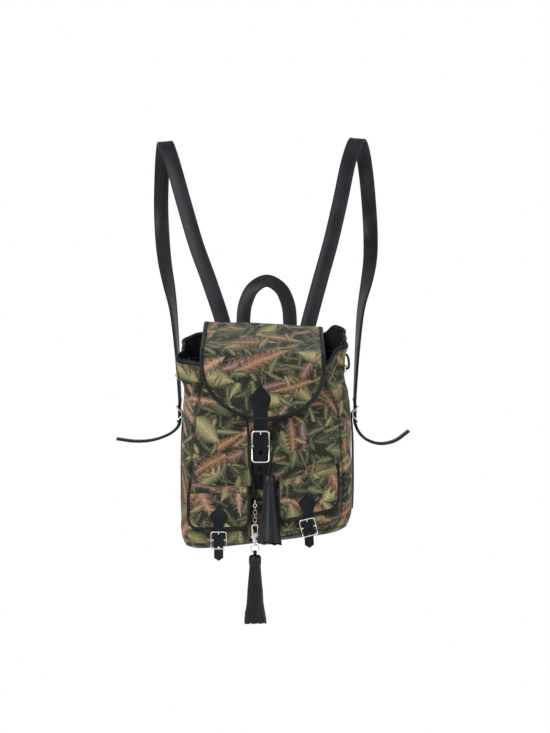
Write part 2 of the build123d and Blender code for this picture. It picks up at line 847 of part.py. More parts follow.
# Tassels: a rolled head with a fringe of strips that fans out below it. Locally z runs down the tassel.
def make_tassel(side, top, axis, length, width, depth, across_cuts, deep_cuts, looped):
    head_top = 2.4 if looped else 0
    head_length = 13
    neck = head_top + head_length
    hang = Plane(origin=top, x_dir=(1, 0, 0), z_dir=axis)
    with BuildPart() as head:
        with BuildSketch(hang.offset(head_top)):
            Circle(tassel_head / 2 - 1.2)
        with BuildSketch(hang.offset(head_top + 3)):
            Circle(tassel_head / 2)
        with BuildSketch(hang.offset(neck)):
            Circle(tassel_head / 2 - 0.4)
        loft(ruled=True)
        if looped:
            with BuildSketch(Plane(origin=top, x_dir=(0, 1, 0), z_dir=(1, 0, 0))):
                Circle(loop_bore + main_leather)
                with Locations((0, -loop_bore - main_leather)):
                    Rectangle(2 * main_leather, 2 * main_leather)
                Circle(loop_bore, mode=Mode.SUBTRACT)
            extrude(amount=2, both=True)
    hand_in(head, f"tassel_head_{side}")
    with BuildPart() as fringe:
        with BuildSketch(hang.offset(neck)):
            Ellipse(tassel_head / 2 - 1, tassel_head / 2 - 1)
        with BuildSketch(hang.offset(0.4 * length)):
            Ellipse(0.32 * width, 0.5 * (depth / 2 + tassel_head / 2) - 0.5)
        with BuildSketch(hang.offset(length)):
            Ellipse(width / 2, depth / 2)
        loft()
        start = neck + 4
        fans = (
            (across_cuts, width, Plane(origin=top, x_dir=hang.x_dir, z_dir=-hang.y_dir)),
            (deep_cuts, depth, Plane(origin=top, x_dir=hang.y_dir, z_dir=hang.x_dir)),
        )
        for cuts, spread, view in fans:
            with BuildSketch(view):
                for cut in range(cuts):
                    share = (2 * (cut + 1) / (cuts + 1) - 1) / 2
                    high, low = share * (tassel_head - 2), share * spread
                    with BuildLine():
                        Polyline(
                            (high - slit / 2, start),
                            (high + slit / 2, start),
                            (low + slit, length + 1),
                            (low - slit, length + 1),
                            close=True,
                        )
                    make_face()
            extrude(amount=width, both=True, mode=Mode.SUBTRACT)
    hand_in(fringe, f"tassel_fringe_{side}")


# Chain: each link hangs on the bottom of the one above and stands across it.
link_rise = link_wire + link_gap
link_pitch = link_length - link_wire - link_rise
loop_bore = tassel_ring_wire / 2 + 0.8


def chain_plane(height, faces_front):
    origin = at(chain_x, chain_depth, height)
    if faces_front:
        return Plane(origin=origin, x_dir=(1, 0, 0), z_dir=(0, -1, 0))
    return Plane(origin=origin, x_dir=(0, 1, 0), z_dir=(1, 0, 0))


cup_radius = lace_diameter / 2 + 0.9
cup_length = 4.6
with BuildPart() as cord_end:
    with BuildSketch(Plane(origin=at(chain_x, chain_depth, cord_end_top), z_dir=(0, 0, -1))):
        Circle(cup_radius)
    extrude(amount=cup_length)
    with BuildSketch(Plane(origin=at(chain_x, chain_depth, cord_end_top), z_dir=(0, 0, -1))):
        Circle(lace_diameter / 2 + pivot_gap)
    extrude(amount=cup_length - 1, mode=Mode.SUBTRACT)
    with BuildSketch(chain_plane(chain_top + link_width / 2 - link_wire / 2, True)):
        Circle(link_width / 2)
        Circle(link_width / 2 - link_wire, mode=Mode.SUBTRACT)
    extrude(amount=link_wire / 2, both=True)
hand_in(cord_end, "cord_end")

for step in range(link_count):
    pivot = chain_top - step * link_pitch
    middle = pivot + link_rise - (link_length - link_wire) / 2
    with BuildPart() as link:
        with BuildSketch(chain_plane(middle, step % 2 == 1)):
            SlotOverall(link_length, link_width, rotation=90)
            SlotOverall(link_length - 2 * link_wire, link_width - 2 * link_wire, rotation=90, mode=Mode.SUBTRACT)
        extrude(amount=link_wire / 2, both=True)
    hand_in(link, f"chain_link_{step + 1}")

clasp_pivot = chain_top - link_count * link_pitch
hook_top = link_wire / 2 + link_gap + hook_wire
clasp_view = chain_plane(clasp_pivot, True)
with BuildPart() as clasp_body:
    with BuildSketch(clasp_view):
        with Locations((0, hook_top - hook_length / 2)):
            SlotOverall(hook_length, hook_width, rotation=90)
        with Locations((0, hook_top - hook_length / 2)):
            SlotOverall(hook_length - 2 * hook_wire, hook_width - 2 * hook_wire, rotation=90, mode=Mode.SUBTRACT)
        with Locations((-hook_width / 2, gate_top)):
            Rectangle(2.2 * hook_wire, 7.8, align=(Align.CENTER, Align.MAX), mode=Mode.SUBTRACT)
    extrude(amount=hook_thick / 2, both=True)
    with BuildSketch(clasp_view):
        with BuildLine():
            Polyline((-4, -9.6), (4, -9.6), (2.4, 2 - eye_drop), (-2.4, 2 - eye_drop), close=True)
        make_face()
    extrude(amount=clasp_thick / 2, both=True)
    with BuildSketch(clasp_view):
        with Locations((-3, -11.2)):
            Rectangle(6, 8.6)
    extrude(amount=trigger_thick / 2 + slide_gap / 2, both=True, mode=Mode.SUBTRACT)
    with BuildSketch(clasp_view):
        with Locations(trigger_pin):
            Circle(pin_radius)
    extrude(amount=clasp_thick / 2, both=True)
    with BuildSketch(chain_plane(clasp_pivot - eye_drop, False)):
        Circle(eye_bore + eye_wall)
        Circle(eye_bore, mode=Mode.SUBTRACT)
    extrude(amount=eye_wall / 2, both=True)
hand_in(clasp_body, "clasp_body")

with BuildPart() as clasp_trigger:
    with BuildSketch(clasp_view):
        with Locations(trigger_pin):
            Circle(1.7)
        with BuildLine():
            Polyline((-3.9, -11), (-1.2, -10.5), (-2.8, gate_top - 0.2), (-4.4, gate_top - 0.2), close=True)
        make_face()
        with BuildLine():
            Polyline((-2.2, -10), (-2.6, -13), (-4.8, -14.6), (-5.2, -13.6), (-4, -11.5), close=True)
        make_face()
        with Locations(trigger_pin):
            Circle(pin_radius + pivot_gap, mode=Mode.SUBTRACT)
    extrude(amount=trigger_thick / 2, both=True)
hand_in(clasp_trigger, "clasp_trigger")

ring_pivot = clasp_pivot - eye_drop - eye_bore - eye_wall / 2
ring_drop = eye_wall / 2 + ring_gap + tassel_ring_wire / 2
ring_middle = ring_pivot + ring_drop - (tassel_ring_diameter - tassel_ring_wire) / 2
ring_view = chain_plane(ring_middle, True)
with BuildPart() as tassel_ring:
    with BuildSketch(ring_view):
        Circle(tassel_ring_diameter / 2)
        Circle(tassel_ring_diameter / 2 - tassel_ring_wire, mode=Mode.SUBTRACT)
    extrude(amount=tassel_ring_wire / 2, both=True)
hand_in(tassel_ring, "tassel_ring")

tassel_pivot = ring_middle - (tassel_ring_diameter - tassel_ring_wire) / 2
left_top = at(chain_x, chain_depth, tassel_pivot)
make_tassel("left", left_top, (0, 0, -1), left_tassel_length, left_tassel_width, left_tassel_width, 6, 2, True)
right_sizes = (right_tassel_length, right_tassel_width, right_tassel_depth)
make_tassel("right", tassel_top, right_axis, *right_sizes, 7, 1, False)
print("pivots", chain_top, link_pitch, clasp_pivot, ring_pivot, tassel_pivot)
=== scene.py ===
import math
from functools import partial

import bmesh
import bpy
import numpy as np
from mathutils import Matrix, Vector, noise


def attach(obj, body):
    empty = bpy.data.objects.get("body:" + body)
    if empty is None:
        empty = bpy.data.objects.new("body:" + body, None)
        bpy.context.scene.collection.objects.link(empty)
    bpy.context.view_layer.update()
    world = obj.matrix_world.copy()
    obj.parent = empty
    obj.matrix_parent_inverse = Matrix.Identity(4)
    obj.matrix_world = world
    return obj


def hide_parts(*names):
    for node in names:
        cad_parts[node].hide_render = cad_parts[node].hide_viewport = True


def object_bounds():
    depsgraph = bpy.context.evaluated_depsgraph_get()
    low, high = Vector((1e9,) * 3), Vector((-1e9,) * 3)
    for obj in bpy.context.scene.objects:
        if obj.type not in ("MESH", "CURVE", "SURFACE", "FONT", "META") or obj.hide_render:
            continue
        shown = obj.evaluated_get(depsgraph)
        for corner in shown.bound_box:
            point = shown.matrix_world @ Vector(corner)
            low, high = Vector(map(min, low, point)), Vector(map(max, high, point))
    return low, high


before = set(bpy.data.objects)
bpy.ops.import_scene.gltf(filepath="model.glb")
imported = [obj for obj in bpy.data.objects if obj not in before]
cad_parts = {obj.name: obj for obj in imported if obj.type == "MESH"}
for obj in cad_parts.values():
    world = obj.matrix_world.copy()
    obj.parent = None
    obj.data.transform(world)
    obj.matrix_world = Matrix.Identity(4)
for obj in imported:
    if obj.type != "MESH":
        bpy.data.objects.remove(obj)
cadBox = [list(corner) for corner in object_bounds()]
print("frame loaded", cadBox)

crestDepth, crestHeight = 118.0, 521.0


def at(x, depth, height):
    # bag millimetres (depth runs back, height runs up) to metres in the frame
    return Vector((x, depth - crestDepth, height - crestHeight)) / 1000


photoView = {"place": (0.01375, -2.018, -0.297), "lens": 74.65, "sensor": 36}
studio = {
    "floorDrop": 0.36, "floorColour": (0.93, 0.925, 0.91), "keyPower": 26, "fillPower": 9,
    "worldLevel": 0.62,
}


def makeCamera():
    cameraData = bpy.data.cameras.new("photoCamera")
    cameraData.lens = photoView["lens"]
    cameraData.sensor_width = photoView["sensor"]
    camera = bpy.data.objects.new("photoCamera", cameraData)
    camera.location = photoView["place"]
    camera.rotation_euler = (math.pi / 2, 0, 0)
    bpy.context.collection.objects.link(camera)
    bpy.context.scene.camera = camera


def makeLamp(name, place, aim, size, power):
    lampData = bpy.data.lights.new(name, "AREA")
    lampData.shape = "DISK"
    lampData.size = size
    lampData.energy = power
    lamp = bpy.data.objects.new(name, lampData)
    lamp.location = place
    lamp.rotation_euler = (Vector(aim) - Vector(place)).to_track_quat("-Z", "Y").to_euler()
    bpy.context.collection.objects.link(lamp)


makeCamera()
print("camera ready")


def plug(tree, sockets, inputs):
    # links a socket to each named place, or writes a plain value there
    for key, value in inputs.items():
        if isinstance(value, bpy.types.NodeSocket):
            tree.links.new(value, sockets[key])
        else:
            sockets[key].default_value = value


def addNode(tree, kind, inputs=None, **settings):
    node = tree.nodes.new(kind)
    for key, value in settings.items():
        setattr(node, key, value)
    plug(tree, node.inputs, inputs or {})
    return node


def calc(tree, operation, first, second=0.0, third=0.0, clamp=False):
    inputs = {0: first, 1: second, 2: third}
    return addNode(tree, "ShaderNodeMath", inputs, operation=operation, use_clamp=clamp).outputs[0]


def vectorCalc(tree, operation, first, *others):
    # SCALE takes a number as its second value, and LENGTH gives one
    keys = ["Scale"] if operation == "SCALE" else [1, 2]
    node = addNode(tree, "ShaderNodeVectorMath", {0: first, **dict(zip(keys, others))}, operation=operation)
    return node.outputs[1 if operation == "LENGTH" else 0]


def blendColour(tree, factor, low, high):
    return addNode(tree, "ShaderNodeMix", {0: factor, 6: low, 7: high}, data_type="RGBA").outputs[2]


def spread(tree, value, fromLow, fromHigh, toLow=0.0, toHigh=1.0):
    sockets = {0: value, 1: fromLow, 2: fromHigh, 3: toLow, 4: toHigh}
    return addNode(tree, "ShaderNodeMapRange", sockets, clamp=True).outputs[0]


def noiseAt(tree, place, scale, detail=2.0, output=0):
    inputs = {"Vector": place, "Scale": scale, "Detail": detail}
    return addNode(tree, "ShaderNodeTexNoise", inputs).outputs[output]


def joinXYZ(tree, **parts):
    return addNode(tree, "ShaderNodeCombineXYZ", parts).outputs[0]


def newGroup(name, inputs, outputs, kind="ShaderNodeTree", outputType="Float"):
    # inputs: label to its default number, or to the type of a socket that has none
    group = bpy.data.node_groups.new(name, kind)
    for label, value in inputs.items():
        plain = not isinstance(value, str)
        socketType = "NodeSocket" + (type(value).__name__.capitalize() if plain else value)
        socket = group.interface.new_socket(label, in_out="INPUT", socket_type=socketType)
        if plain:
            socket.default_value = value
    for label in outputs:
        group.interface.new_socket(label, in_out="OUTPUT", socket_type="NodeSocket" + outputType)
    start = group.nodes.new("NodeGroupInput")
    end = group.nodes.new("NodeGroupOutput")
    return group, start.outputs, end.inputs


def useGroup(tree, group, inputs):
    return addNode(tree, "ShaderNodeGroup", inputs, node_tree=group).outputs


def newMaterial(name, values):
    material = bpy.data.materials.new(name)
    material.use_nodes = True
    tree = material.node_tree
    surface = tree.nodes["Principled BSDF"]
    plug(tree, surface.inputs, values)
    return material, tree, surface


def dress(tree, surface, colour, height, strength, distance):
    # colour and bump onto a surface; the distance is in metres
    inputs = {"Height": height, "Strength": strength, "Distance": distance}
    bump = addNode(tree, "ShaderNodeBump", inputs).outputs[0]
    plug(tree, surface.inputs, {"Base Color": colour, "Normal": bump})


def makeLeafShape():
    # one woven leaf about the origin: mask, lighter veins, and how far along it a point lies
    fields = {"Vector": "Vector", "Length": 20.0, "Width": 8.0, "Lobes": 0.0, "Lobe Count": 8.0,
              "Vein Count": 9.0}
    group, given, result = newGroup("leafShape", fields, ("Mask", "Vein", "Shade"))
    sums = partial(calc, group)
    parts = addNode(group, "ShaderNodeSeparateXYZ", {0: given["Vector"]}).outputs
    along = sums("DIVIDE", parts[0], given["Length"])  # -1 at the stalk, 1 at the tip
    across = sums("ABSOLUTE", parts[1])
    share = sums("MULTIPLY_ADD", along, 0.5, 0.5, clamp=True)
    belly = sums("SINE", sums("MULTIPLY", sums("POWER", share, 0.75), math.pi))
    slant = sums("SUBTRACT", share, sums("DIVIDE", across, sums("MULTIPLY", given["Length"], 2.6)))
    teeth = sums("FRACT", sums("MULTIPLY", slant, given["Lobe Count"]))
    notch = sums("ABSOLUTE", sums("MULTIPLY_ADD", teeth, 2.0, -1.0))
    cut = sums("SUBTRACT", 1.0, sums("MULTIPLY", notch, given["Lobes"]))
    edge = sums("MULTIPLY", sums("MULTIPLY", belly, given["Width"]), cut)
    inside = sums("LESS_THAN", across, edge)
    bounded = sums("LESS_THAN", sums("ABSOLUTE", along), 1.0)
    rib = sums("LESS_THAN", across, sums("MULTIPLY", given["Width"], 0.09))
    sideVein = sums("LESS_THAN", sums("FRACT", sums("MULTIPLY", slant, given["Vein Count"])), 0.3)
    reach = sums("DIVIDE", across, sums("MAXIMUM", edge, 0.5))
    plug(group, result, {
        "Mask": sums("MULTIPLY", inside, bounded),
        "Vein": sums("MAXIMUM", rib, sums("MULTIPLY", sideVein, 0.7)),
        "Shade": sums("MULTIPLY_ADD", reach, -0.55, 1.0, clamp=True)})
    return group


def scatterCells(group, given, randomness):
    # a point's place in its own cell, and three chances drawn for that cell
    shifted = vectorCalc(group, "ADD", given["Vector"], given["Shift"])
    cell = vectorCalc(group, "SCALE", shifted, calc(group, "DIVIDE", 1.0, given["Cell"]))
    inputs = {"Vector": cell, "Scale": 1.0, "Randomness": randomness}
    cells = addNode(group, "ShaderNodeTexVoronoi", inputs, voronoi_dimensions="2D").outputs
    local = vectorCalc(group, "SCALE", vectorCalc(group, "SUBTRACT", cell, cells["Position"]), given["Cell"])
    return local, addNode(group, "ShaderNodeSeparateColor", {0: cells["Color"]}).outputs


def makeLeafScatter(leafShape):
    # leaves dropped at random, one to a cell, each turned its own way
    fields = {"Vector": "Vector", "Cell": 30.0, "Shift": 0.0, "Length": 14.0, "Width": 5.0, "Lobes": 0.0,
              "Lobe Count": 8.0, "Vein Count": 9.0, "Turn": 6.28}
    group, given, result = newGroup("leafScatter", fields, ("Mask", "Vein", "Shade", "Tint"))
    local, chance = scatterCells(group, given, 0.75)
    inputs = {"Vector": local, "Angle": calc(group, "MULTIPLY", chance[0], given["Turn"])}
    turned = addNode(group, "ShaderNodeVectorRotate", inputs, rotation_type="Z_AXIS").outputs[0]
    size = calc(group, "MULTIPLY_ADD", chance[1], 0.45, 0.7)
    sized = {label: calc(group, "MULTIPLY", given[label], size) for label in ("Length", "Width")}
    passed = {label: given[label] for label in ("Lobes", "Lobe Count", "Vein Count")}
    shape = useGroup(group, leafShape, {"Vector": turned, **sized, **passed})
    plug(group, result, {**{label: shape[label] for label in ("Mask", "Vein", "Shade")}, "Tint": chance[2]})
    return group


def makeFlowerScatter():
    # small open flowers, one to a cell
    fields = {"Vector": "Vector", "Cell": 30.0, "Shift": 0.0, "Radius": 6.0, "Petals": 5.0}
    group, given, result = newGroup("flowerScatter", fields, ("Mask", "Shade", "Heart", "Tint"))
    sums = partial(calc, group)
    local, chance = scatterCells(group, given, 0.8)
    parts = addNode(group, "ShaderNodeSeparateXYZ", {0: local}).outputs
    around = sums("ARCTAN2", parts[1], parts[0])
    turn = sums("MULTIPLY_ADD", around, given["Petals"], sums("MULTIPLY", chance[0], 6.28))
    reach = sums("MULTIPLY", given["Radius"], sums("MULTIPLY_ADD", sums("COSINE", turn), 0.24, 0.76))
    share = sums("DIVIDE", vectorCalc(group, "LENGTH", local), reach)
    ring = sums("ABSOLUTE", sums("SUBTRACT", share, 0.42))
    plug(group, result, {
        "Mask": sums("LESS_THAN", share, 1.0), "Shade": spread(group, ring, 0.2, 0.0, 0.0, 0.7),
        "Heart": sums("LESS_THAN", share, 0.3), "Tint": chance[2]})
    return group


def makeGrain():
    # pebbled leather: a height for the bump and a mask of the worn high spots
    fields = {"Vector": "Vector", "Pebble": 1.1, "Depth": 1.0}
    group, given, result = newGroup("leatherGrain", fields, ("Height", "Worn"))
    spot = given["Vector"]
    scale = calc(group, "DIVIDE", 1000.0, given["Pebble"])
    bend = noiseAt(group, spot, 260.0, 2.0, "Color")
    inputs = {"Vector": vectorCalc(group, "MULTIPLY_ADD", bend, (0.0016,) * 3, spot), "Scale": scale}
    cells = addNode(group, "ShaderNodeTexVoronoi", inputs, feature="SMOOTH_F1").outputs
    creases = calc(group, "MULTIPLY", noiseAt(group, spot, 90.0, 4.0), 0.8)
    height = calc(group, "MULTIPLY", calc(group, "SUBTRACT", creases, cells["Distance"]), given["Depth"])
    worn = spread(group, noiseAt(group, spot, 26.0, 3.0), 0.45, 0.72)
    plug(group, result, {"Height": height, "Worn": worn})
    return group


leafShape = makeLeafShape()
leafScatter = makeLeafScatter(leafShape)
flowerScatter = makeFlowerScatter()
leatherGrain = makeGrain()

# sizes in millimetres of cloth; each layer is laid over the ones before it
layerFields = ("Cell", "Shift", "Length", "Width", "Lobes", "Lobe Count", "Vein Count")
tapestryCloth = {
    "threadWide": 0.85, "threadTall": 0.6, "ground": (0.014, 0.017, 0.011, 1), "warp": 5.0,
    "outline": (0.010, 0.011, 0.008, 1), "vein": (0.50, 0.46, 0.28, 1), "veinShare": 0.3,
    # the last colour here is the painted shade laid along the seam grooves
    "gap": (0.013, 0.014, 0.010, 1), "fleck": (0.34, 0.31, 0.18, 1), "seamGrooveShade": (0.006, 0.006, 0.006, 1),
    "layers": {
        "deep leaves": (
            (23, 11, 16, 6.5, 0.15, 9, 9), (0.030, 0.042, 0.019), (0.055, 0.062, 0.026), (0.038, 0.036, 0.022)),
        "deep blades": (
            (19, 29, 20, 3.0, 0.2, 12, 14), (0.075, 0.09, 0.035), (0.035, 0.055, 0.028), (0.10, 0.095, 0.04)),
        "blades": (
            (30, 47, 26, 4.2, 0.35, 16, 16), (0.19, 0.175, 0.07), (0.30, 0.265, 0.115), (0.10, 0.115, 0.055)),
        "mauve fronds": (
            (48, 58, 28, 10, 0.62, 8, 8), (0.36, 0.16, 0.15), (0.50, 0.27, 0.22), (0.27, 0.13, 0.12)),
        "broad leaves": (
            (50, 129, 25, 15, 0.16, 10, 13), (0.30, 0.265, 0.105), (0.46, 0.41, 0.19), (0.20, 0.195, 0.08)),
        "rust fronds": (
            (53, 83, 34, 12, 0.62, 9, 9), (0.44, 0.19, 0.09), (0.60, 0.33, 0.23), (0.34, 0.14, 0.08)),
        "small leaves": (
            (33, 171, 11, 5.2, 0.1, 6, 8), (0.36, 0.33, 0.14), (0.17, 0.20, 0.085), (0.44, 0.27, 0.15)),
    },
    "flowers": {"Cell": 33.0, "Shift": 212.0, "Radius": 6.5, "Petals": 5.0},
    "petal": (0.42, 0.42, 0.36, 1), "blue": (0.16, 0.21, 0.23, 1), "heart": (0.30, 0.22, 0.07, 1),
    "patches": 0.022,
    "surface": {"Roughness": 0.86, "Specular IOR Level": 0.25, "Sheen Weight": 0.12, "Sheen Roughness": 0.5},
}


def makeTapestry():
    cloth = tapestryCloth
    material, tree, surface = newMaterial("tapestry", cloth["surface"])
    sums, blend = partial(calc, tree), partial(blendColour, tree)
    laid = addNode(tree, "ShaderNodeUVMap", uv_map="cloth").outputs[0]
    flat = vectorCalc(tree, "SCALE", laid, 1000.0)
    drift = noiseAt(tree, flat, 0.045, 1.0, "Color")
    drawn = vectorCalc(tree, "MULTIPLY_ADD", drift, (cloth["warp"],) * 3, flat)
    thread = vectorCalc(tree, "SNAP", drawn, (cloth["threadWide"], cloth["threadTall"], 1.0))
    speck = addNode(tree, "ShaderNodeTexWhiteNoise", {"Vector": thread}, noise_dimensions="3D").outputs[0]
    colour = cloth["ground"]
    for sizes, *tones in cloth["layers"].values():
        inputs = {label: float(value) for label, value in zip(layerFields, sizes)}
        leaf = useGroup(tree, leafScatter, {"Vector": thread, **inputs})
        first, second, third = [(*tone, 1) for tone in tones]
        tone = blend(spread(tree, leaf["Tint"], 0.3, 0.34), first, second)
        tone = blend(spread(tree, leaf["Tint"], 0.64, 0.68), tone, third)
        tone = blend(spread(tree, leaf["Shade"], 0.95, 0.45, 0.0, 0.95), tone, cloth["outline"])
        tone = blend(sums("MULTIPLY", leaf["Vein"], cloth["veinShare"]), tone, cloth["vein"])
        colour = blend(leaf["Mask"], colour, tone)
    bloom = useGroup(tree, flowerScatter, {"Vector": thread, **cloth["flowers"]})
    patches = noiseAt(tree, flat, cloth["patches"], 0.0)
    petal = blend(spread(tree, bloom["Tint"], 0.45, 0.5), cloth["petal"], cloth["blue"])
    petal = blend(bloom["Shade"], petal, cloth["outline"])
    petal = blend(bloom["Heart"], petal, cloth["heart"])
    colour = blend(sums("MULTIPLY", bloom["Mask"], sums("GREATER_THAN", patches, 0.5)), colour, petal)
    colour = blend(spread(tree, speck, 0.35, 1.0, 0.0, 0.62), colour, cloth["gap"])
    colour = blend(spread(tree, speck, 0.12, 0.0, 0.0, 0.3), colour, cloth["fleck"])
    # painted shade: the cloth is darkened along the seam grooves
    seamGrooveShade = addNode(tree, "ShaderNodeAttribute", attribute_name="seamGrooveShade").outputs["Fac"]
    colour = blend(sums("MULTIPLY", seamGrooveShade, 0.85), colour, cloth["seamGrooveShade"])
    # ribs of the weave: how close the threads of each direction lie, and their share of the bump
    ribs = []
    for direction, scale, part in (("Y", 0.55, 0.6), ("X", 0.4, 0.4)):
        inputs = {"Vector": flat, "Scale": scale, "Distortion": 0.6}
        wave = addNode(tree, "ShaderNodeTexWave", inputs, bands_direction=direction).outputs[1]
        ribs.append(sums("MULTIPLY", wave, part))
    height = sums("ADD", sums("ADD", *ribs), sums("MULTIPLY", speck, 0.7))
    dress(tree, surface, colour, height, 0.55, 0.0004)
    return material


leatherFields = ("rough", "pebble", "depth", "shine", "coat")
leatherFinishes = {
    "bagLeather": ((0.006, 0.0062, 0.0075), 0.44, 1.2, 0.8, 0.2, 0.03),
    "strapLeather": ((0.0065, 0.0072, 0.010), 0.4, 0.9, 0.55, 0.22, 0.04),
    "patchLeather": ((0.0035, 0.0052, 0.0068), 0.5, 1.0, 0.5, 0.15, 0.0),
    "tasselLeather": ((0.005, 0.0056, 0.0075), 0.36, 0.8, 0.4, 0.26, 0.05),
    "laceLeather": ((0.006, 0.0062, 0.007), 0.5, 0.6, 0.35, 0.2, 0.0),
}


def makeLeather(name):
    colour, *values = leatherFinishes[name]
    own = dict(zip(leatherFields, values))
    settings = {"Specular IOR Level": own["shine"], "Coat Weight": own["coat"], "Coat Roughness": 0.3}
    material, tree, surface = newMaterial(name, settings)
    spot = addNode(tree, "ShaderNodeTexCoord").outputs["Object"]
    grain = useGroup(tree, leatherGrain, {"Vector": spot, "Pebble": own["pebble"], "Depth": own["depth"]})
    worn = [min(1.0, 2.1 * part + 0.004) for part in colour]
    rough = spread(tree, grain["Worn"], 0.0, 1.0, own["rough"], own["rough"] + 0.13)
    plug(tree, surface.inputs, {"Roughness": rough})
    colour = blendColour(tree, grain["Worn"], (*colour, 1), (*worn, 1))
    dress(tree, surface, colour, grain["Height"], 0.5, 0.0003)
    return material


# colours and noise are the two ends and the scale and detail of what runs between them; rough is its range
plainFinishes = {
    "nickelPlate": {
        "colours": ((0.66, 0.645, 0.61, 1), (0.86, 0.85, 0.83, 1)), "noise": (300.0, 5.0),
        "rough": (0.12, 0.3),
        "bump": (1400.0, 2.0), "strength": 0.12, "depth": 0.0001, "surface": {"Metallic": 1.0}},
    "liningCotton": {
        "colours": ((0.006, 0.006, 0.0065, 1), (0.014, 0.014, 0.015, 1)), "noise": (60.0, 3.0),
        "bump": (1100.0, 1.0), "strength": 0.4, "depth": 0.0002,
        "surface": {"Roughness": 0.92, "Specular IOR Level": 0.2}},
    "stitchThread": {
        "colours": ((0.012, 0.012, 0.013, 1), (0.05, 0.05, 0.052, 1)), "noise": (2500.0, 2.0),
        "surface": {"Roughness": 0.6}},
}


def makePlain(name):
    own = plainFinishes[name]
    material, tree, surface = newMaterial(name, own["surface"])
    spot = addNode(tree, "ShaderNodeTexCoord").outputs["Object"]
    tone = noiseAt(tree, spot, *own["noise"])
    colour = blendColour(tree, tone, *own["colours"])
    plug(tree, surface.inputs, {"Base Color": colour})
    if "rough" in own:
        plug(tree, surface.inputs, {"Roughness": spread(tree, tone, 0.3, 0.7, *own["rough"])})
    if "bump" in own:
        dress(tree, surface, colour, noiseAt(tree, spot, *own["bump"]), own["strength"], own["depth"])
    return material


tapestry = makeTapestry()
bagLeather, strapLeather, patchLeather, tasselLeather, laceLeather = map(makeLeather, leatherFinishes)
nickelPlate, liningCotton, stitchThread = map(makePlain, plainFinishes)
print("materials ready")


def makeStudio():
    floorZ = cadBox[0][2] - studio["floorDrop"]
    for name, corners in (
        ("floor", [(-6, -4, floorZ), (6, -4, floorZ), (6, 7, floorZ), (-6, 7, floorZ)]),
        ("backdrop", [(-9, 7, -4), (9, 7, -4), (9, 7, 7), (-9, 7, 7)]),
    ):
        mesh = bpy.data.meshes.new(name)
        mesh.from_pydata(corners, [], [(0, 1, 2, 3)])
        sheet = bpy.data.objects.new(name, mesh)
        bpy.context.collection.objects.link(sheet)
        settings = {"Base Color": (*studio["floorColour"], 1), "Roughness": 0.95}
        material, tree, surface = newMaterial(name, settings)
        # the paper behind shows white to the eye and in metal, and still takes the shadow
        paths = addNode(tree, "ShaderNodeLightPath").outputs
        mirrored = calc(tree, "MULTIPLY", paths["Is Glossy Ray"], 0.75)
        seen = calc(tree, "MAXIMUM", paths["Is Camera Ray"], mirrored)
        glow = addNode(tree, "ShaderNodeEmission", {"Color": (1, 1, 1, 1), "Strength": 1.0}).outputs[0]
        part = addNode(tree, "ShaderNodeMixShader", {0: seen, 1: surface.outputs[0], 2: glow}).outputs[0]
        tree.links.new(part, tree.nodes["Material Output"].inputs["Surface"])
        mesh.materials.append(material)
    world = bpy.data.worlds.new("studio")
    world.use_nodes = True
    tree = world.node_tree
    seen = addNode(tree, "ShaderNodeLightPath").outputs["Is Camera Ray"]
    level = spread(tree, seen, 0.0, 1.0, studio["worldLevel"], 1.0)
    plug(tree, tree.nodes["Background"].inputs, {"Color": (1, 1, 1, 1), "Strength": level})
    bpy.context.scene.world = world
    aim = (0, -0.1, -0.3)
    makeLamp("keyLamp", (-1.1, -1.9, 0.75), aim, 1.3, studio["keyPower"])
    makeLamp("fillLamp", (1.6, -1.5, 0.1), aim, 1.6, studio["fillPower"])
    bpy.context.scene.view_settings.view_transform = "Standard"


makeStudio()


def newObject(name, mesh):
    piece = bpy.data.objects.new(name, mesh)
    bpy.context.collection.objects.link(piece)
    return piece


def shadeSmooth(mesh):
    mesh.polygons.foreach_set("use_smooth", [True] * len(mesh.polygons))


def unit(vectors):
    return vectors / np.linalg.norm(vectors, axis=-1)[..., None]


def runAlong(points):
    # how far along a line each of its points lies
    return np.concatenate([[0], np.cumsum(np.linalg.norm(np.diff(points, axis=0), axis=1))])


def takeAt(points, runs, places):
    return np.stack([np.interp(places, runs, points[:, axis]) for axis in range(points.shape[1])], axis=1)


def fullTurn(count):
    return [2 * math.pi * step / count for step in range(count)]


def roundedBox(half, tall, corner, steps, count):
    # evenly spaced points round a box with round corners
    points = []
    for cornerX, cornerY, start in ((1, -1, -90), (1, 1, 0), (-1, 1, 90), (-1, -1, 180)):
        middleX, middleY = cornerX * (half - corner), cornerY * (tall - corner)
        for step in range(steps + 1):
            angle = math.radians(start + 90 * step / steps)
            points.append((middleX + corner * math.cos(angle), middleY + corner * math.sin(angle)))
    flat = np.array(points + points[:1])
    runs = runAlong(flat)
    return takeAt(flat, runs, np.linspace(0, runs[-1], count + 1)[:-1])


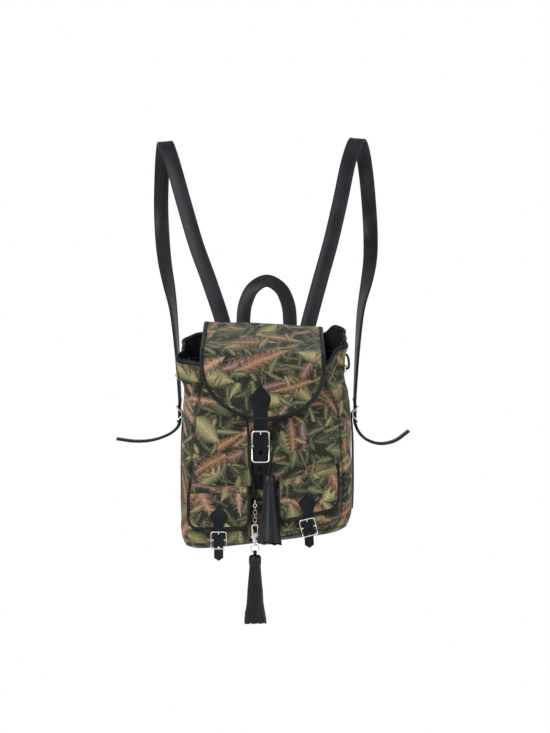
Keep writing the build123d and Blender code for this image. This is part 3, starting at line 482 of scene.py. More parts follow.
def gridPiece(name, grid, material, cloth=None, seamGrooveShade=None, wrap=False, capStart=False, capEnd=False,
              flip=False):
    # grid: rows x columns x 3 points; cloth: the same rows x columns(+1 when it wraps) x 2 in metres
    rows, columns = grid.shape[:2]
    faces, corners = [], []
    last = columns if wrap else columns - 1
    for row in range(rows - 1):
        for column in range(last):
            corner = [(row, column), (row, column + 1), (row + 1, column + 1), (row + 1, column)]
            face = [line * columns + place % columns for line, place in corner]
            faces.append(face[::-1] if flip else face)
            corners.append(corner[::-1] if flip else corner)
    for row, capped in ((0, capStart), (rows - 1, capEnd)):
        if capped:
            corner = [(row, column) for column in range(last)]
            backward = (row == 0) != flip
            corners.append(corner[::-1] if backward else corner)
            faces.append([line * columns + place for line, place in corners[-1]])
    mesh = bpy.data.meshes.new(name)
    mesh.from_pydata(grid.reshape(-1, 3).tolist(), [], faces)
    shadeSmooth(mesh)
    if cloth is not None:
        laid = np.array([cloth[row, column] for face in corners for row, column in face], dtype=np.float32)
        mesh.uv_layers.new(name="cloth").data.foreach_set("uv", laid.ravel())
    # the seam mask is kept on the points for the painted shade along the seam grooves
    if seamGrooveShade is not None:
        values = seamGrooveShade.astype(np.float32).ravel()
        mesh.attributes.new("seamGrooveShade", "FLOAT", "POINT").data.foreach_set("value", values)
    mesh.materials.append(material)
    return newObject(name, mesh)


def throughPoints(points, steps):
    # a smooth line through given points
    points = np.array(points, dtype=float)
    padded = np.vstack([2 * points[0] - points[1], points, 2 * points[-1] - points[-2]])
    line = []
    for index in range(1, len(padded) - 2):
        a, b, c, d = padded[index - 1:index + 3]
        bend, twist = 2 * a - 5 * b + 4 * c - d, 3 * b - a - 3 * c + d
        for t in np.arange(steps) / steps:
            line.append(0.5 * (2 * b + (c - a) * t + bend * t**2 + twist * t**3))
    line.append(points[-1])
    return np.array(line)


def roundedRoute(points, radii, step=2.0):
    # flat route in millimetres whose corners are arcs
    points = [np.array(point, dtype=float) for point in points]
    route = [points[0]]
    for before, corner, after, radius in zip(points, points[1:], points[2:], radii):
        inward, outward = unit(before - corner), unit(after - corner)
        half = math.acos(np.clip(np.dot(inward, outward), -1, 1)) / 2
        run = radius / math.tan(half)
        middle = corner + unit(inward + outward) * radius / math.sin(half)
        start, end = corner + inward * run - middle, corner + outward * run - middle
        for share in np.linspace(0, 1, 9):
            route.append(middle + unit(start * (1 - share) + end * share) * radius)
    route.append(points[-1])
    route = np.array(route)
    lengths = runAlong(route)
    even = np.append(np.arange(0, lengths[-1], step), lengths[-1])
    return takeAt(route, lengths, even), even


def tidyFaces(piece, weld=False):
    form = bmesh.new()
    form.from_mesh(piece.data)
    if weld:
        bmesh.ops.remove_doubles(form, verts=form.verts, dist=1e-6)
    bmesh.ops.recalc_face_normals(form, faces=form.faces)
    form.to_mesh(piece.data)
    form.free()


def turnedPiece(name, stacks, material, closed=True, smooth=True):
    # stacks: for each solid its rings of points in order; a closed one joins its last ring to its first
    form = bmesh.new()
    for stack in stacks:
        rings = [[form.verts.new(point) for point in ring] for ring in stack]
        for low, high in zip(rings, rings[1:] + rings[:1] if closed else rings[1:]):
            for index in range(len(low)):
                after = (index + 1) % len(low)
                form.faces.new((low[index], low[after], high[after], high[index]))
        if not closed:
            form.faces.new(rings[0])
            form.faces.new(rings[-1][::-1])
    bmesh.ops.recalc_face_normals(form, faces=form.faces)
    mesh = bpy.data.meshes.new(name)
    form.to_mesh(mesh)
    form.free()
    mesh.materials.append(material)
    if smooth:
        shadeSmooth(mesh)
    return newObject(name, mesh)


def squareTo(tangents, across):
    # the width's direction turned square to the path, and the way out of the strap
    across = unit(across - tangents * np.sum(across * tangents, axis=1)[:, None])
    return across, np.cross(tangents, across)


def sweep(name, path, material, section, across, closed=False):
    # path: points in metres; section: (across, out) pairs; across: the direction of the first at each point
    path = np.array(path, dtype=float)
    ring = np.roll(path, -1, axis=0) - np.roll(path, 1, axis=0) if closed else np.gradient(path, axis=0)
    across, out = squareTo(unit(ring), np.broadcast_to(np.array(across, dtype=float), path.shape))
    section = np.array(section, dtype=float)
    grid = path[:, None] + across[:, None] * section[:, :1] + out[:, None] * section[:, 1:]
    if closed:
        grid = np.vstack([grid, grid[:1]])
    piece = gridPiece(name, grid, material, wrap=True, capStart=not closed, capEnd=not closed)
    tidyFaces(piece, closed)
    return piece


def strapSection(width, thick, edge=1.2, groove=0.25):
    # rounded strap with a pressed line near each edge, millimetres to metres
    half, deep = width / 2, thick / 2
    corner = min(deep, 1.0)
    ease = 0.3 * corner
    side = [(half - corner, deep), (half - ease, deep - ease), (half, deep - corner), (half, corner - deep),
            (half - ease, ease - deep), (half - corner, -deep)]
    line = [(half - edge - 1.0, deep), (half - edge - 0.6, deep - groove), (half - edge - 0.2, deep)]
    top = [(-x, y) for x, y in side[:1] + line[::-1]] + [(0, deep + 0.1)] + line
    points = top + side + [(0, -deep)] + [(-x, y) for x, y in side[::-1][:-1]]
    return [(x / 1000, y / 1000) for x, y in points]


def ovalSection(across, out, count=16):
    return [(across * math.cos(turn) / 1000, out * math.sin(turn) / 1000) for turn in fullTurn(count)]


def softened(node, material, width):
    # a copy of a CAD node with its sharp edges eased
    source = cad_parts[node]
    mesh = source.data.copy()
    mesh.name = node + "_soft"
    form = bmesh.new()
    form.from_mesh(mesh)
    bmesh.ops.remove_doubles(form, verts=form.verts, dist=2e-6)
    bmesh.ops.dissolve_limit(form, angle_limit=math.radians(1), verts=form.verts, edges=form.edges)
    form.to_mesh(mesh)
    form.free()
    mesh.materials.clear()
    mesh.materials.append(material)
    shadeSmooth(mesh)
    piece = newObject(node + "_soft", mesh)
    ease = piece.modifiers.new("ease", "BEVEL")
    ease.width = width / 1000
    ease.segments = 2
    ease.limit_method = "ANGLE"
    ease.angle_limit = math.radians(32)
    ease.harden_normals = True
    return piece


def newTree(name, inputs):
    fields = {"Geometry": "Geometry", **inputs, "Material": "Material"}
    return newGroup(name, fields, ("Geometry",), "GeometryNodeTree", "Geometry")


def endTree(tree, given, result, geometry):
    # the last node gives the mesh its material
    done = addNode(tree, "GeometryNodeSetMaterial", {"Geometry": geometry, "Material": given["Material"]})
    tree.links.new(done.outputs["Geometry"], result["Geometry"])
    return tree


def makeStitchTree():
    # a row of thread stitches along a curve
    tree, given, result = newTree("stitchRow", {"Pitch": 0.0032, "Stitch": 0.0022, "Thread": 0.00035})
    inputs = {"Curve": given["Geometry"], "Length": given["Pitch"]}
    points = addNode(tree, "GeometryNodeCurveToPoints", inputs, mode="LENGTH").outputs
    inputs = {"Vertices": 6, "Radius": given["Thread"], "Depth": given["Stitch"]}
    thread = addNode(tree, "GeometryNodeMeshCylinder", inputs).outputs["Mesh"]
    inputs = {"Points": points["Points"], "Instance": thread, "Rotation": points["Rotation"]}
    rows = addNode(tree, "GeometryNodeInstanceOnPoints", inputs).outputs["Instances"]
    real = addNode(tree, "GeometryNodeRealizeInstances", {"Geometry": rows})
    return endTree(tree, given, result, real.outputs["Geometry"])


def makeWireTree():
    # round wire along a curve: links, rings and buckle frames
    tree, given, result = newTree("roundWire", {"Radius": 0.001, "Sides": 14})
    inputs = {"Resolution": given["Sides"], "Radius": given["Radius"]}
    profile = addNode(tree, "GeometryNodeCurvePrimitiveCircle", inputs).outputs["Curve"]
    inputs = {"Curve": given["Geometry"], "Profile Curve": profile, "Fill Caps": True}
    wire = addNode(tree, "GeometryNodeCurveToMesh", inputs).outputs["Mesh"]
    smooth = addNode(tree, "GeometryNodeSetShadeSmooth", {"Geometry": wire})
    return endTree(tree, given, result, smooth.outputs["Geometry"])


def makeFringeTree():
    # leather strips hung on a ring, spreading and waving as they fall
    tree, given, result = newTree("fringe", {
        "Count": 22, "Neck": 0.006, "Length": 0.07, "Strip": 0.0028, "Thick": 0.0009, "Spread": 0.006,
        "Depth Share": 1.0, "Wave": 0.002, "Seed": 1.0})
    sums = partial(calc, tree)
    inputs = {"Resolution": given["Count"], "Radius": given["Neck"]}
    ring = addNode(tree, "GeometryNodeCurvePrimitiveCircle", inputs).outputs["Curve"]
    inputs = {"Curve": ring, "Count": given["Count"]}
    points = addNode(tree, "GeometryNodeCurveToPoints", inputs, mode="COUNT").outputs["Points"]
    size = joinXYZ(tree, X=given["Strip"], Y=given["Thick"], Z=given["Length"])
    inputs = {"Size": size, "Vertices X": 3, "Vertices Y": 2, "Vertices Z": 14}
    strip = addNode(tree, "GeometryNodeMeshCube", inputs).outputs["Mesh"]
    inputs = {"Geometry": strip, "Translation": joinXYZ(tree, Z=sums("MULTIPLY", given["Length"], -0.5))}
    hung = addNode(tree, "GeometryNodeTransform", inputs).outputs["Geometry"]
    index = addNode(tree, "GeometryNodeInputIndex").outputs[0]
    chance = addNode(tree, "FunctionNodeRandomValue", {"ID": index, "Seed": 5}, data_type="FLOAT").outputs[1]
    around = sums("DIVIDE", sums("MULTIPLY", index, 2 * math.pi), given["Count"])
    facing = sums("ADD", around, sums("MULTIPLY_ADD", chance, 0.7, math.pi / 2 - 0.35))
    stretch = joinXYZ(tree, X=1.0, Y=1.0, Z=sums("MULTIPLY_ADD", chance, 0.07, 0.93))
    inputs = {"Points": points, "Instance": hung, "Rotation": joinXYZ(tree, Z=facing), "Scale": stretch}
    strips = addNode(tree, "GeometryNodeInstanceOnPoints", inputs).outputs["Instances"]
    real = addNode(tree, "GeometryNodeRealizeInstances", {"Geometry": strips}).outputs["Geometry"]
    spot = addNode(tree, "GeometryNodeInputPosition").outputs[0]
    parts = addNode(tree, "ShaderNodeSeparateXYZ", {0: spot}).outputs
    fall = sums("DIVIDE", sums("MULTIPLY", parts[2], -1.0), given["Length"], clamp=True)
    away = vectorCalc(tree, "NORMALIZE", joinXYZ(tree, X=parts[0], Y=parts[1]))
    push = sums("MULTIPLY", sums("POWER", fall, 1.25), given["Spread"])
    inputs = {"Vector": spot, "W": given["Seed"], "Scale": 95.0, "Detail": 1.0}
    field = addNode(tree, "ShaderNodeTexNoise", inputs, noise_dimensions="4D").outputs["Color"]
    centred = vectorCalc(tree, "SUBTRACT", field, (0.5, 0.5, 0.5))
    reach = sums("MULTIPLY", fall, sums("MULTIPLY", given["Wave"], 2.0))
    wave = vectorCalc(tree, "SCALE", centred, reach)
    shift = vectorCalc(tree, "ADD", vectorCalc(tree, "SCALE", away, push), wave)
    level = joinXYZ(tree, X=1.0, Y=given["Depth Share"], Z=0.3)
    inputs = {"Geometry": real, "Offset": vectorCalc(tree, "MULTIPLY", shift, level)}
    moved = addNode(tree, "GeometryNodeSetPosition", inputs).outputs["Geometry"]
    return endTree(tree, given, result, moved)


stitchRow = makeStitchTree()
roundWire = makeWireTree()
fringeTree = makeFringeTree()


def polyCurve(name, lines, closed=False):
    curve = bpy.data.curves.new(name, "CURVE")
    curve.dimensions = "3D"
    for line in lines:
        spline = curve.splines.new("POLY")
        spline.points.add(len(line) - 1)
        spline.points.foreach_set("co", np.hstack([np.array(line), np.ones((len(line), 1))]).ravel())
        spline.use_cyclic_u = closed
    return newObject(name, curve)


def treeResult(name, source, tree, inputs, place=None):
    # runs a node tree once and keeps what it makes as a plain mesh
    modifier = source.modifiers.new(tree.name, "NODES")
    modifier.node_group = tree
    for item in tree.interface.items_tree:
        if item.item_type == "SOCKET" and item.in_out == "INPUT" and item.name in inputs:
            modifier[item.identifier] = inputs[item.name]
    seen = source.evaluated_get(bpy.context.evaluated_depsgraph_get())
    mesh = bpy.data.meshes.new_from_object(seen)
    mesh.name = name
    source.modifiers.remove(modifier)
    bpy.data.objects.remove(source)
    if place is not None:
        mesh.transform(place)
    return newObject(name, mesh)


def stitches(name, lines, pitch=3.2, stitch=2.2, thread=0.32, closed=False):
    return treeResult(name, polyCurve(name + "Line", lines, closed), stitchRow, {
        "Pitch": pitch / 1000, "Stitch": stitch / 1000, "Thread": thread / 1000, "Material": stitchThread})


def wirePiece(name, line, radius, closed=True, sides=14):
    return treeResult(name, polyCurve(name + "Line", [line], closed), roundWire, {
        "Radius": radius / 1000, "Sides": sides, "Material": nickelPlate})


def keep(piece, body, slot, *nodes):
    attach(piece, body)
    if nodes:
        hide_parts(*nodes)
    return piece


sack = {
    "foldCount": 16, "foldDepth": 2.2, "cornerPower": 3.2,
    "ear": 10, "earTurn": 1.17 * math.pi, "earWide": 0.22,
    "seamWide": 1.1, "hemWide": 1.3, "seamDeep": 1.3, "seamEnd": 226, "seamFade": 6, "bottomCalm": (12, 25),
    "rimCalm": 14, "settle": 0.9, "rows": 150, "columns": 384, "seams": (-42, 36), "baseSeam": 16.5,
    "floor": 9.5, "slope": 0.118, "girth": 92.0, "rings": 9,
    "liningRows": 70, "liningFloor": 14, "liningGap": 3.4, "bindingSides": 14,
    # squeeze upward, scale, seed and height of each layer of dents; creases deepen over a run of heights
    "dents": [(1, 62.0, 8.4, 3.2), (2.2, 24.0, 5.7, 0.96)],
    "creases": (0.32, 17.0, 3.1, 2.2), "creaseRun": (120, 100),
    # height, middle, half width, half depth, roll, pitch, fold
    "levels": np.array([
        (9.5, 3, 90, 44, 0.118, 0, 0), (12.5, 3, 98, 50, 0.118, 0, 0), (21.5, 3, 104, 55, 0.118, 0, 0),
        (47.5, 3.5, 106.5, 57.5, 0.083, 0, 0), (92, 4, 107, 58, 0.035, 0, 0),
        (128, 4, 106.3, 57.4, 0.012, 0.03, 0),
        (164, 4, 105, 56, 0, 0.08, 0), (198, 2, 101, 52, 0.01, 0.22, 0.5), (214, 0, 99, 50, 0.03, 0.34, 1.3),
        (227, 0, 100, 49, 0.04, 0.45, 2.0), (250, 0, 102.5, 49, 0.043, 0.47, 2.2),
        (268, 0, 103.5, 49, 0.043, 0.47, 2.2)]),
    "rim": [(-140, 0), (-104, 2), (-86, 2), (-60, -1), (0, -4), (50, -6), (76, -6), (90, 6), (106, 5),
            (140, 0)],
    "rimLevel": 250.0, "rimScale": 1.105,
}


def levelAt(height):
    # the section at any height, smoothed between the listed ones
    levels = sack["levels"]
    heights = levels[:, 0]
    slopes = np.gradient(levels, heights, axis=0)
    height = np.clip(height, heights[0], heights[-1])
    index = np.clip(np.searchsorted(heights, height) - 1, 0, len(heights) - 2)
    span = heights[index + 1] - heights[index]
    t = ((height - heights[index]) / span)[..., None]
    span = span[..., None]
    low, high = levels[index], levels[index + 1]
    return ((2 * t**3 - 3 * t**2 + 1) * low + (t**3 - 2 * t**2 + t) * span * slopes[index]
            + (3 * t**2 - 2 * t**3) * high + (t**3 - t**2) * span * slopes[index + 1])


def sackPoint(turn, height, out=0.0, crest=None):
    # arrays of turns and heights to points in bag millimetres
    level = levelAt(height)
    middle, halfWidth, halfDepth, roll, pitch, fold = (level[..., axis] for axis in range(1, 7))
    power = sack["cornerPower"]
    swell = (np.abs(np.cos(turn)) ** power + np.abs(np.sin(turn)) ** power) ** (-1 / power)
    ear = np.exp(-(((np.mod(turn, 2 * math.pi) - sack["earTurn"]) / sack["earWide"]) ** 2))
    gathers = 0.5 * (np.cos(sack["foldCount"] * turn) - np.cos(sack["foldCount"] / 2 * turn))
    wave = gathers if crest is None else crest
    reach = fold * wave + sack["ear"] * fold / sack["foldDepth"] * ear + out
    x = middle + (halfWidth * swell + reach) * np.cos(turn)
    y = (halfDepth * swell + reach) * np.sin(turn) * np.sqrt(1 + pitch**2)
    normal = unit(np.stack([-roll, -pitch, np.ones_like(roll)], axis=-1))
    along = unit(np.stack([np.ones_like(roll), np.zeros_like(roll), roll], axis=-1))
    point = along * x[..., None] + np.cross(normal, along) * y[..., None]
    point[..., 2] += height
    return point


def rimHeight(turn):
    # the mouth's edge dips under the flap and rises at the sides
    x = sackPoint(turn, np.full_like(turn, sack["rimLevel"]))[..., 0]
    fine = throughPoints(sack["rim"], 12)
    return sack["rimLevel"] + sack["rimScale"] * np.interp(x, fine[:, 0], fine[:, 1])


def inFrame(points):
    return (points - np.array([0, crestDepth, crestHeight])) / 1000


def softNoise(points, scale, seed):
    # smooth noise of position, the same on every run
    flat = points.reshape(-1, 3) / scale + seed
    return np.array([noise.noise(Vector(point)) for point in flat]).reshape(points.shape[:-1])


def dent(points, upward, scale, seed, height):
    # soft dents in the cloth, squeezed together upward
    return softNoise(points * np.array([1, 1, upward]), scale, seed) * height


def ramp(value, start, run):
    # 0 up to the start, 1 past the run
    return np.clip((value - start) / run, 0, 1)


def nearLine(distance, width):
    # 1 on a seam, fading beside it
    return np.exp(-((distance / width) ** 2))


def makeSack():
    rows, columns, low, slope = (sack[key] for key in ("rows", "columns", "floor", "slope"))
    turns = -math.pi / 2 + 2 * math.pi * (np.arange(columns) / columns + 0.5)  # starts at the back
    top = rimHeight(turns)
    heights = low + np.linspace(0, 1, rows)[:, None] ** 0.92 * (top - low)
    wall = sackPoint(turns, heights)
    # seams pull in, the panels between them fill out, and the gathered cloth creases below the eyelets; the
    # seam mask also carries painted shade along the seam grooves into the cloth's colour
    seamGrooveShade = np.max([nearLine(wall[..., 1] - depth, sack["seamWide"]) for depth in sack["seams"]], axis=0)
    hem = nearLine(wall[..., 2] - (sack["baseSeam"] + slope * wall[..., 0]), sack["hemWide"])
    seamGrooveShade = np.maximum(seamGrooveShade, hem) * (1 - ramp(heights, sack["seamEnd"], sack["seamFade"]))
    crease = dent(wall, *sack["creases"]) * ramp(heights, *sack["creaseRun"])
    dents = sum(dent(wall, *layer) for layer in sack["dents"])
    calm = ramp(heights, *sack["bottomCalm"]) * ramp(top - heights, 0, sack["rimCalm"])
    pull = (crease + dents - sack["settle"]) * calm - sack["seamDeep"] * seamGrooveShade
    outward = unit((wall - np.array([2.0, 0, 0])) * np.array([1, 1, 0]))
    wall = wall + outward * pull[..., None]
    girth = sackPoint(turns, np.full(columns, sack["girth"]))
    around = runAlong(np.vstack([girth, girth[:1]]))
    around = (around - around[-1] / 2) / 1000
    laid = np.stack(np.broadcast_arrays(around, np.hstack([heights, heights[:, :1]]) / 1000), axis=2)
    # the underside closes in rings towards the middle
    middle = np.array([3.0, 0.0, low + slope * 3])
    shares = np.arange(sack["rings"])[:, None] / sack["rings"]
    bulge = np.array([0, 0, -1.2]) * (1 - shares**2)
    under = middle + (wall[0] - middle) * (shares[..., None] + 0.02) + bulge[:, None]
    fall = low / 1000 - 0.044 * (1 - shares)
    underLaid = np.stack(np.broadcast_arrays(around * (0.3 + 0.7 * shares), fall), axis=2)
    grid, laid = np.concatenate([under, wall]), np.concatenate([underLaid, laid])
    seamGrooveShade = np.concatenate([np.zeros(under.shape[:2]), seamGrooveShade])
    outer = gridPiece("sackCloth", inFrame(grid), tapestry, laid, seamGrooveShade, wrap=True, capStart=True)
    tidyFaces(outer)
    # lining: a little inside the cloth, and down to its own floor
    low = sack["liningFloor"]
    heights = low + np.linspace(0, 1, sack["liningRows"])[:, None] * (top - 1.5 - low)
    inner = sackPoint(turns, heights, -sack["liningGap"])
    floor = middle + (inner[0] - middle) * (np.arange(6)[:, None, None] / 6 + 0.02) + np.array([0, 0, 4.5])
    grid = inFrame(np.concatenate([floor, inner]))
    lining = gridPiece("sackLining", grid, liningCotton, wrap=True, capStart=True, flip=True)
    # binding: a folded leather edge that closes cloth and lining together
    edge = sackPoint(turns, top + 0.2, -1.5)
    down = unit(sackPoint(turns, top - 8, -1.5) - edge)
    out = unit(sackPoint(turns, top, 3) - sackPoint(turns, top))
    thick = 2.5 + 0.25 * softNoise(edge, 9.0, 2.2)
    ring = [edge + down * (2.0 + 3.1 * math.sin(angle)) + out * (thick * math.cos(angle))[:, None]
            for angle in fullTurn(sack["bindingSides"])]
    grid = np.stack(ring, axis=1)
    binding = gridPiece("mouthBinding", inFrame(np.concatenate([grid, grid[:1]])), bagLeather, wrap=True)
    tidyFaces(binding, True)
    panels = ("front_panel", "side_gusset_left", "side_gusset_right", "back_panel", "base_panel")
    keep(outer, "bag", "tapestry", *panels)
    keep(lining, "bag", "lining", "lining")
    keep(binding, "bag", "black_leather", "mouth_binding")
    stitchLine = sackPoint(turns, top - 6.2, 0.9)
    keep(stitches("mouthStitches", [inFrame(stitchLine)], closed=True), "bag", "black_leather")


makeSack()
print("sack ready")


eyelets = {
    "turns": [math.radians(-67.5 + 45 * step) for step in range(8)], "height": 227.0, "lift": 0.8,
    "sides": 32,
    # radius and rise of the rolled metal
    "profile": [(2.8, -9.0), (2.8, 0.35), (3.0, 0.8), (3.5, 1.05), (4.4, 0.95), (5.2, 0.5), (5.5, 0.0),
                (5.3, -0.25),
                (3.6, -0.2), (3.6, -9.0)],
}


def neckFrame(turn, lift):
    # place and axes of the cloth at an eyelet
    def point(angle, height):
        return sackPoint(np.array([angle]), np.array([height]))[0]
    around = point(turn + 0.01, eyelets["height"]) - point(turn - 0.01, eyelets["height"])
    out = unit(np.cross(around, point(turn, 250.0) - point(turn, 214.0)))
    around = unit(around)
    return point(turn, eyelets["height"]) + out * lift, around, np.cross(out, around), out


def makeEyelets():
    stacks = []
    for turn in eyelets["turns"]:
        spot, around, up, out = neckFrame(turn, eyelets["lift"])
        ways = [around * math.cos(spin) + up * math.sin(spin) for spin in fullTurn(eyelets["sides"])]
        stacks.append([[inFrame(spot + way * radius + out * rise) for way in ways]
                       for radius, rise in eyelets["profile"]])
    keep(turnedPiece("eyeletRings", stacks, nickelPlate), "bag", "nickel", "eyelets")


makeEyelets()


def makeCurve(name, points, radius, material):
    curve = bpy.data.curves.new(name, "CURVE")
    curve.dimensions = "3D"
    curve.bevel_depth = radius / 1000
    curve.bevel_resolution = 3
    curve.use_fill_caps = True
    spline = curve.splines.new("NURBS")
    spline.points.add(len(points) - 1)
    for slot, point in zip(spline.points, points):
        slot.co = (*point, 1)
    spline.order_u = 3
    spline.use_endpoint_u = True
    spline.resolution_u = 6
    curve.materials.append(material)
    return newObject(name, curve)


lace = {"radius": 1.5, "lift": 4.1, "inside": 12.1}


def makeDrawstring():
    # in at one front eyelet and out at the next, all the way round the neck
    points = []
    apart = eyelets["turns"][1] - eyelets["turns"][0]
    height = np.array([eyelets["height"]])
    for step, angle in enumerate(eyelets["turns"]):
        spot, around, _, out = neckFrame(angle, 0)
        run = [spot + out * lace["lift"] - around * 0.2, spot - out * 2.0, spot - out * lace["inside"]]
        points += run if step % 2 == 0 else run[::-1]
        if step % 2 == 1 and angle != eyelets["turns"][-1]:
            for share in (0.22, 0.5, 0.78):
                points.append(sackPoint(np.array([angle + share * apart]), height, lace["lift"], 1)[0])
    piece = makeCurve("drawstringLace", [inFrame(point) for point in points], lace["radius"], laceLeather)
    keep(piece, "bag", "lace", "drawstring")


# the two free ends hang under the flap and past the closure, in millimetres
rightAxis = Vector((0.01, -0.2, -0.98)).normalized()
tasselTop = at(6.5, -77, 95)
chain = {
    "x": -10.3, "depth": -70, "top": 54.5, "pitch": 4.5, "wire": 0.6, "long": 7.3, "wide": 5.4, "count": 5,
    "rise": 1.6, "eyeDrop": 22, "eyeBore": 1.5, "eyeWall": 1.2, "ringDrop": 1.65, "ringRadius": 4.8,
    "ringWire": 0.7,
}
laceRoutes = {
    "right": [(38, -60.5, 197), (28, -60.2, 178), (17.5, -60.2, 156), (12.3, -62, 134), (11, -67, 116)],
    "left": [(-38, -60.5, 195), (-29, -60.2, 178), (-19.8, -60.4, 158), (-18, -62, 137), (-18.4, -64, 116),
             (-16, -66.5, 97), (-11.6, -69.5, 80), (chain["x"], chain["depth"], 67),
             (chain["x"], chain["depth"], 60)],
}


def makeLaceEnd(side, turn, ending=()):
    spot, _, _, out = neckFrame(turn, 0)
    line = [inFrame(spot + out * lift) for lift in (4.4, 6)]
    line += [at(*point) for point in laceRoutes[side]] + list(ending)
    piece = makeCurve(f"lace{side.capitalize()}", line, lace["radius"], laceLeather)
    return keep(piece, "bag", "lace", f"lace_end_{side}"), line[0]


flap = {
    "tilt": 4.0, "barX": -3.6, "barHeight": 127.6, "barDepth": -61.3, "middle": 1.0, "centre": -1,
    "half": 75.5,
    "bottom": 159, "curve": 222, "slope": 0.046, "thick": 3.0, "bends": (38, 14, 6, 8), "puff": 1.6,
    "rear": 57.6,
}


# shared by the main flap and the pocket flaps
cover = {
    "frontRows": 46, "topStretch": 0.55, "endFade": 25.0, "fullSwell": 40.0, "edgeRows": 4.0,
    "waveShare": 0.7, "drift": 0.31, "near": 0.35, "edgeStep": 2.2, "overlap": 0.9,
    "stitchIn": 4.6, "stitchOut": 2.25,
    # scale, seed and height of the waves in the cloth
    "waves": [(34.0, 0, 1.1), (12.0, 4, 0.25)],
}


def onClosure(up, out):
    lean = math.radians(flap["tilt"])
    depth = flap["barDepth"] - up * math.sin(lean) - out * math.cos(lean)
    return depth, flap["barHeight"] + up * math.cos(lean) - out * math.sin(lean)


def coverGrid(route, lengths, centreX, halfAt, slope, frontTop, low, columns=90, rowStep=2.0, puff=1.5,
              side=1.0):
    # a cloth cover that follows a side-view route; below frontTop its half width changes with height
    heights = route[:, 1]
    turnIndex = int(np.argmax(heights))
    levels = low + (frontTop - low) * (1 - np.cos(np.linspace(0, 1, cover["frontRows"]) * math.pi / 2))
    startRun = np.interp(levels, heights[:turnIndex], lengths[:turnIndex])
    runs = np.concatenate([startRun, np.arange(startRun[-1] + rowStep, lengths[-1], rowStep), [lengths[-1]]])
    across = np.linspace(-1, 1, columns)
    grid = np.zeros((len(runs), columns, 3))
    laid = np.zeros((len(runs), columns, 2))
    # the cloth's leaves lie longer over the top, where they are seen at a slant
    slant = runAlong(route * np.array([cover["topStretch"], 1]))
    for row, run in enumerate(runs):
        depth, height = (np.interp(run, lengths, line) for line in route.T)
        rise = [np.interp(run + 1, lengths, line) - np.interp(run - 1, lengths, line) for line in route.T]
        forward, upward = unit(np.array(rise))
        half = halfAt(levels[row] if row < len(levels) else frontTop)
        x = centreX + across * half
        fade = min(1.0, (lengths[-1] - run) / cover["endFade"])
        swell = puff * (1 - across**2) * min(1.0, half / cover["fullSwell"]) * fade
        grid[row, :, 0] = x
        grid[row, :, 1] = depth - upward * swell
        grid[row, :, 2] = height + forward * swell + slope * (x - centreX) + slope * centreX * side
        laid[row, :, 0] = x / 1000
        laid[row, :, 1] = np.interp(run, lengths, slant) / 1000
    return grid, laid


def coverPiece(name, grid, laid, thick, shift):
    # cloth with its own thickness, closed all round
    normals = np.cross(np.gradient(grid, axis=1), np.gradient(grid, axis=0))
    normals /= np.linalg.norm(normals, axis=-1)[..., None] + 1e-9
    waves = sum(softNoise(grid, scale, shift + seed) * high for scale, seed, high in cover["waves"])
    steps = np.arange(len(grid))
    fade = np.minimum(1, np.minimum(steps, steps[::-1])[:, None] / cover["edgeRows"])
    outer = grid + normals * (thick / 2 + waves * fade * cover["waveShare"])[..., None]
    inner = grid - normals * (thick / 2)
    loop = np.concatenate([outer, inner[:, ::-1]], axis=1)
    moved = np.array([shift, cover["drift"] * shift])
    laidLoop = np.concatenate([laid, laid[:, ::-1], laid[:, :1]], axis=1) + moved
    piece = gridPiece(name, inFrame(loop), tapestry, laidLoop, wrap=True, capStart=True, capEnd=True)
    tidyFaces(piece)
    return piece, normals


def bindingPiece(name, grid, normals, width, thick):
    # leather folded over the cover's edge: down one side, round the bottom and up the other
    path, faces = (np.concatenate([field[::-1, 0], field[0, 1:-1], field[:, -1]])
                   for field in (grid, normals))
    apart = np.concatenate([[True], np.linalg.norm(np.diff(path, axis=0), axis=1) > cover["near"]])
    path, faces = path[apart], faces[apart]
    runs = runAlong(path)
    even = np.linspace(0, runs[-1], int(runs[-1] / cover["edgeStep"]))
    path, faces = takeAt(path, runs, even), takeAt(faces, runs, even)
    inward = unit(np.cross(np.gradient(path, axis=0), faces))
    if np.mean(np.sum(inward * (path.mean(axis=0) - path), axis=1)) < 0:
        inward = -inward
    shape = ovalSection(width / 2, thick / 2, 14)
    piece = sweep(name, inFrame(path + inward * (width / 2 - cover["overlap"])), bagLeather, shape, inward)
    return piece, path + inward * cover["stitchIn"] + faces * cover["stitchOut"]


def makeFlap():
    rear = flap["rear"]
    front = [onClosure(up, flap["middle"]) for up in (20, 88)]
    route = front + [(-53, 240), (rear, 279), (rear, 246), (53.2, 229)]
    points, lengths = roundedRoute(route, flap["bends"], 1.0)
    tall = flap["curve"] - flap["bottom"]

    def halfAt(level):
        return max(2.0, flap["half"] * math.sqrt(max(0.0, 1 - ((flap["curve"] - level) / tall) ** 2)))
    grid, laid = coverGrid(points, lengths, flap["centre"], halfAt, -flap["slope"], flap["curve"],
                           flap["bottom"] + 0.3, puff=flap["puff"])
    cloth, normals = coverPiece("flapCloth", grid, laid, flap["thick"], 0.43)
    keep(cloth, "bag", "tapestry", "flap")
    edge, line = bindingPiece("flapEdge", grid, normals, 6.0, 4.6)
    keep(edge, "bag", "black_leather", "flap_binding")
    keep(stitches("flapStitches", [inFrame(line)]), "bag", "black_leather")


makeDrawstring()
tasselEnding = [tasselTop - rightAxis * 0.009, tasselTop - rightAxis * 0.0003]
laceRight, rightExit = makeLaceEnd("right", eyelets["turns"][0], tasselEnding)
laceLeft, leftExit = makeLaceEnd("left", eyelets["turns"][-1])
makeFlap()
print("flap ready")


pocket = {
    "half": 37.5, "tall": 33.5, "corner": 10, "front": -78, "fillet": 6, "flapMiddle": -80.6, "flapTall": 50,
    "thick": 2.0, "bend": 14.0, "barDepth": -80.2, "barDrop": 28.7,
    "left": {"x": -53.6, "height": 45.0, "slope": 0.0, "shift": 1.37},
    "right": {"x": 53.8, "height": 60.5, "slope": 0.24, "shift": 2.11},
}


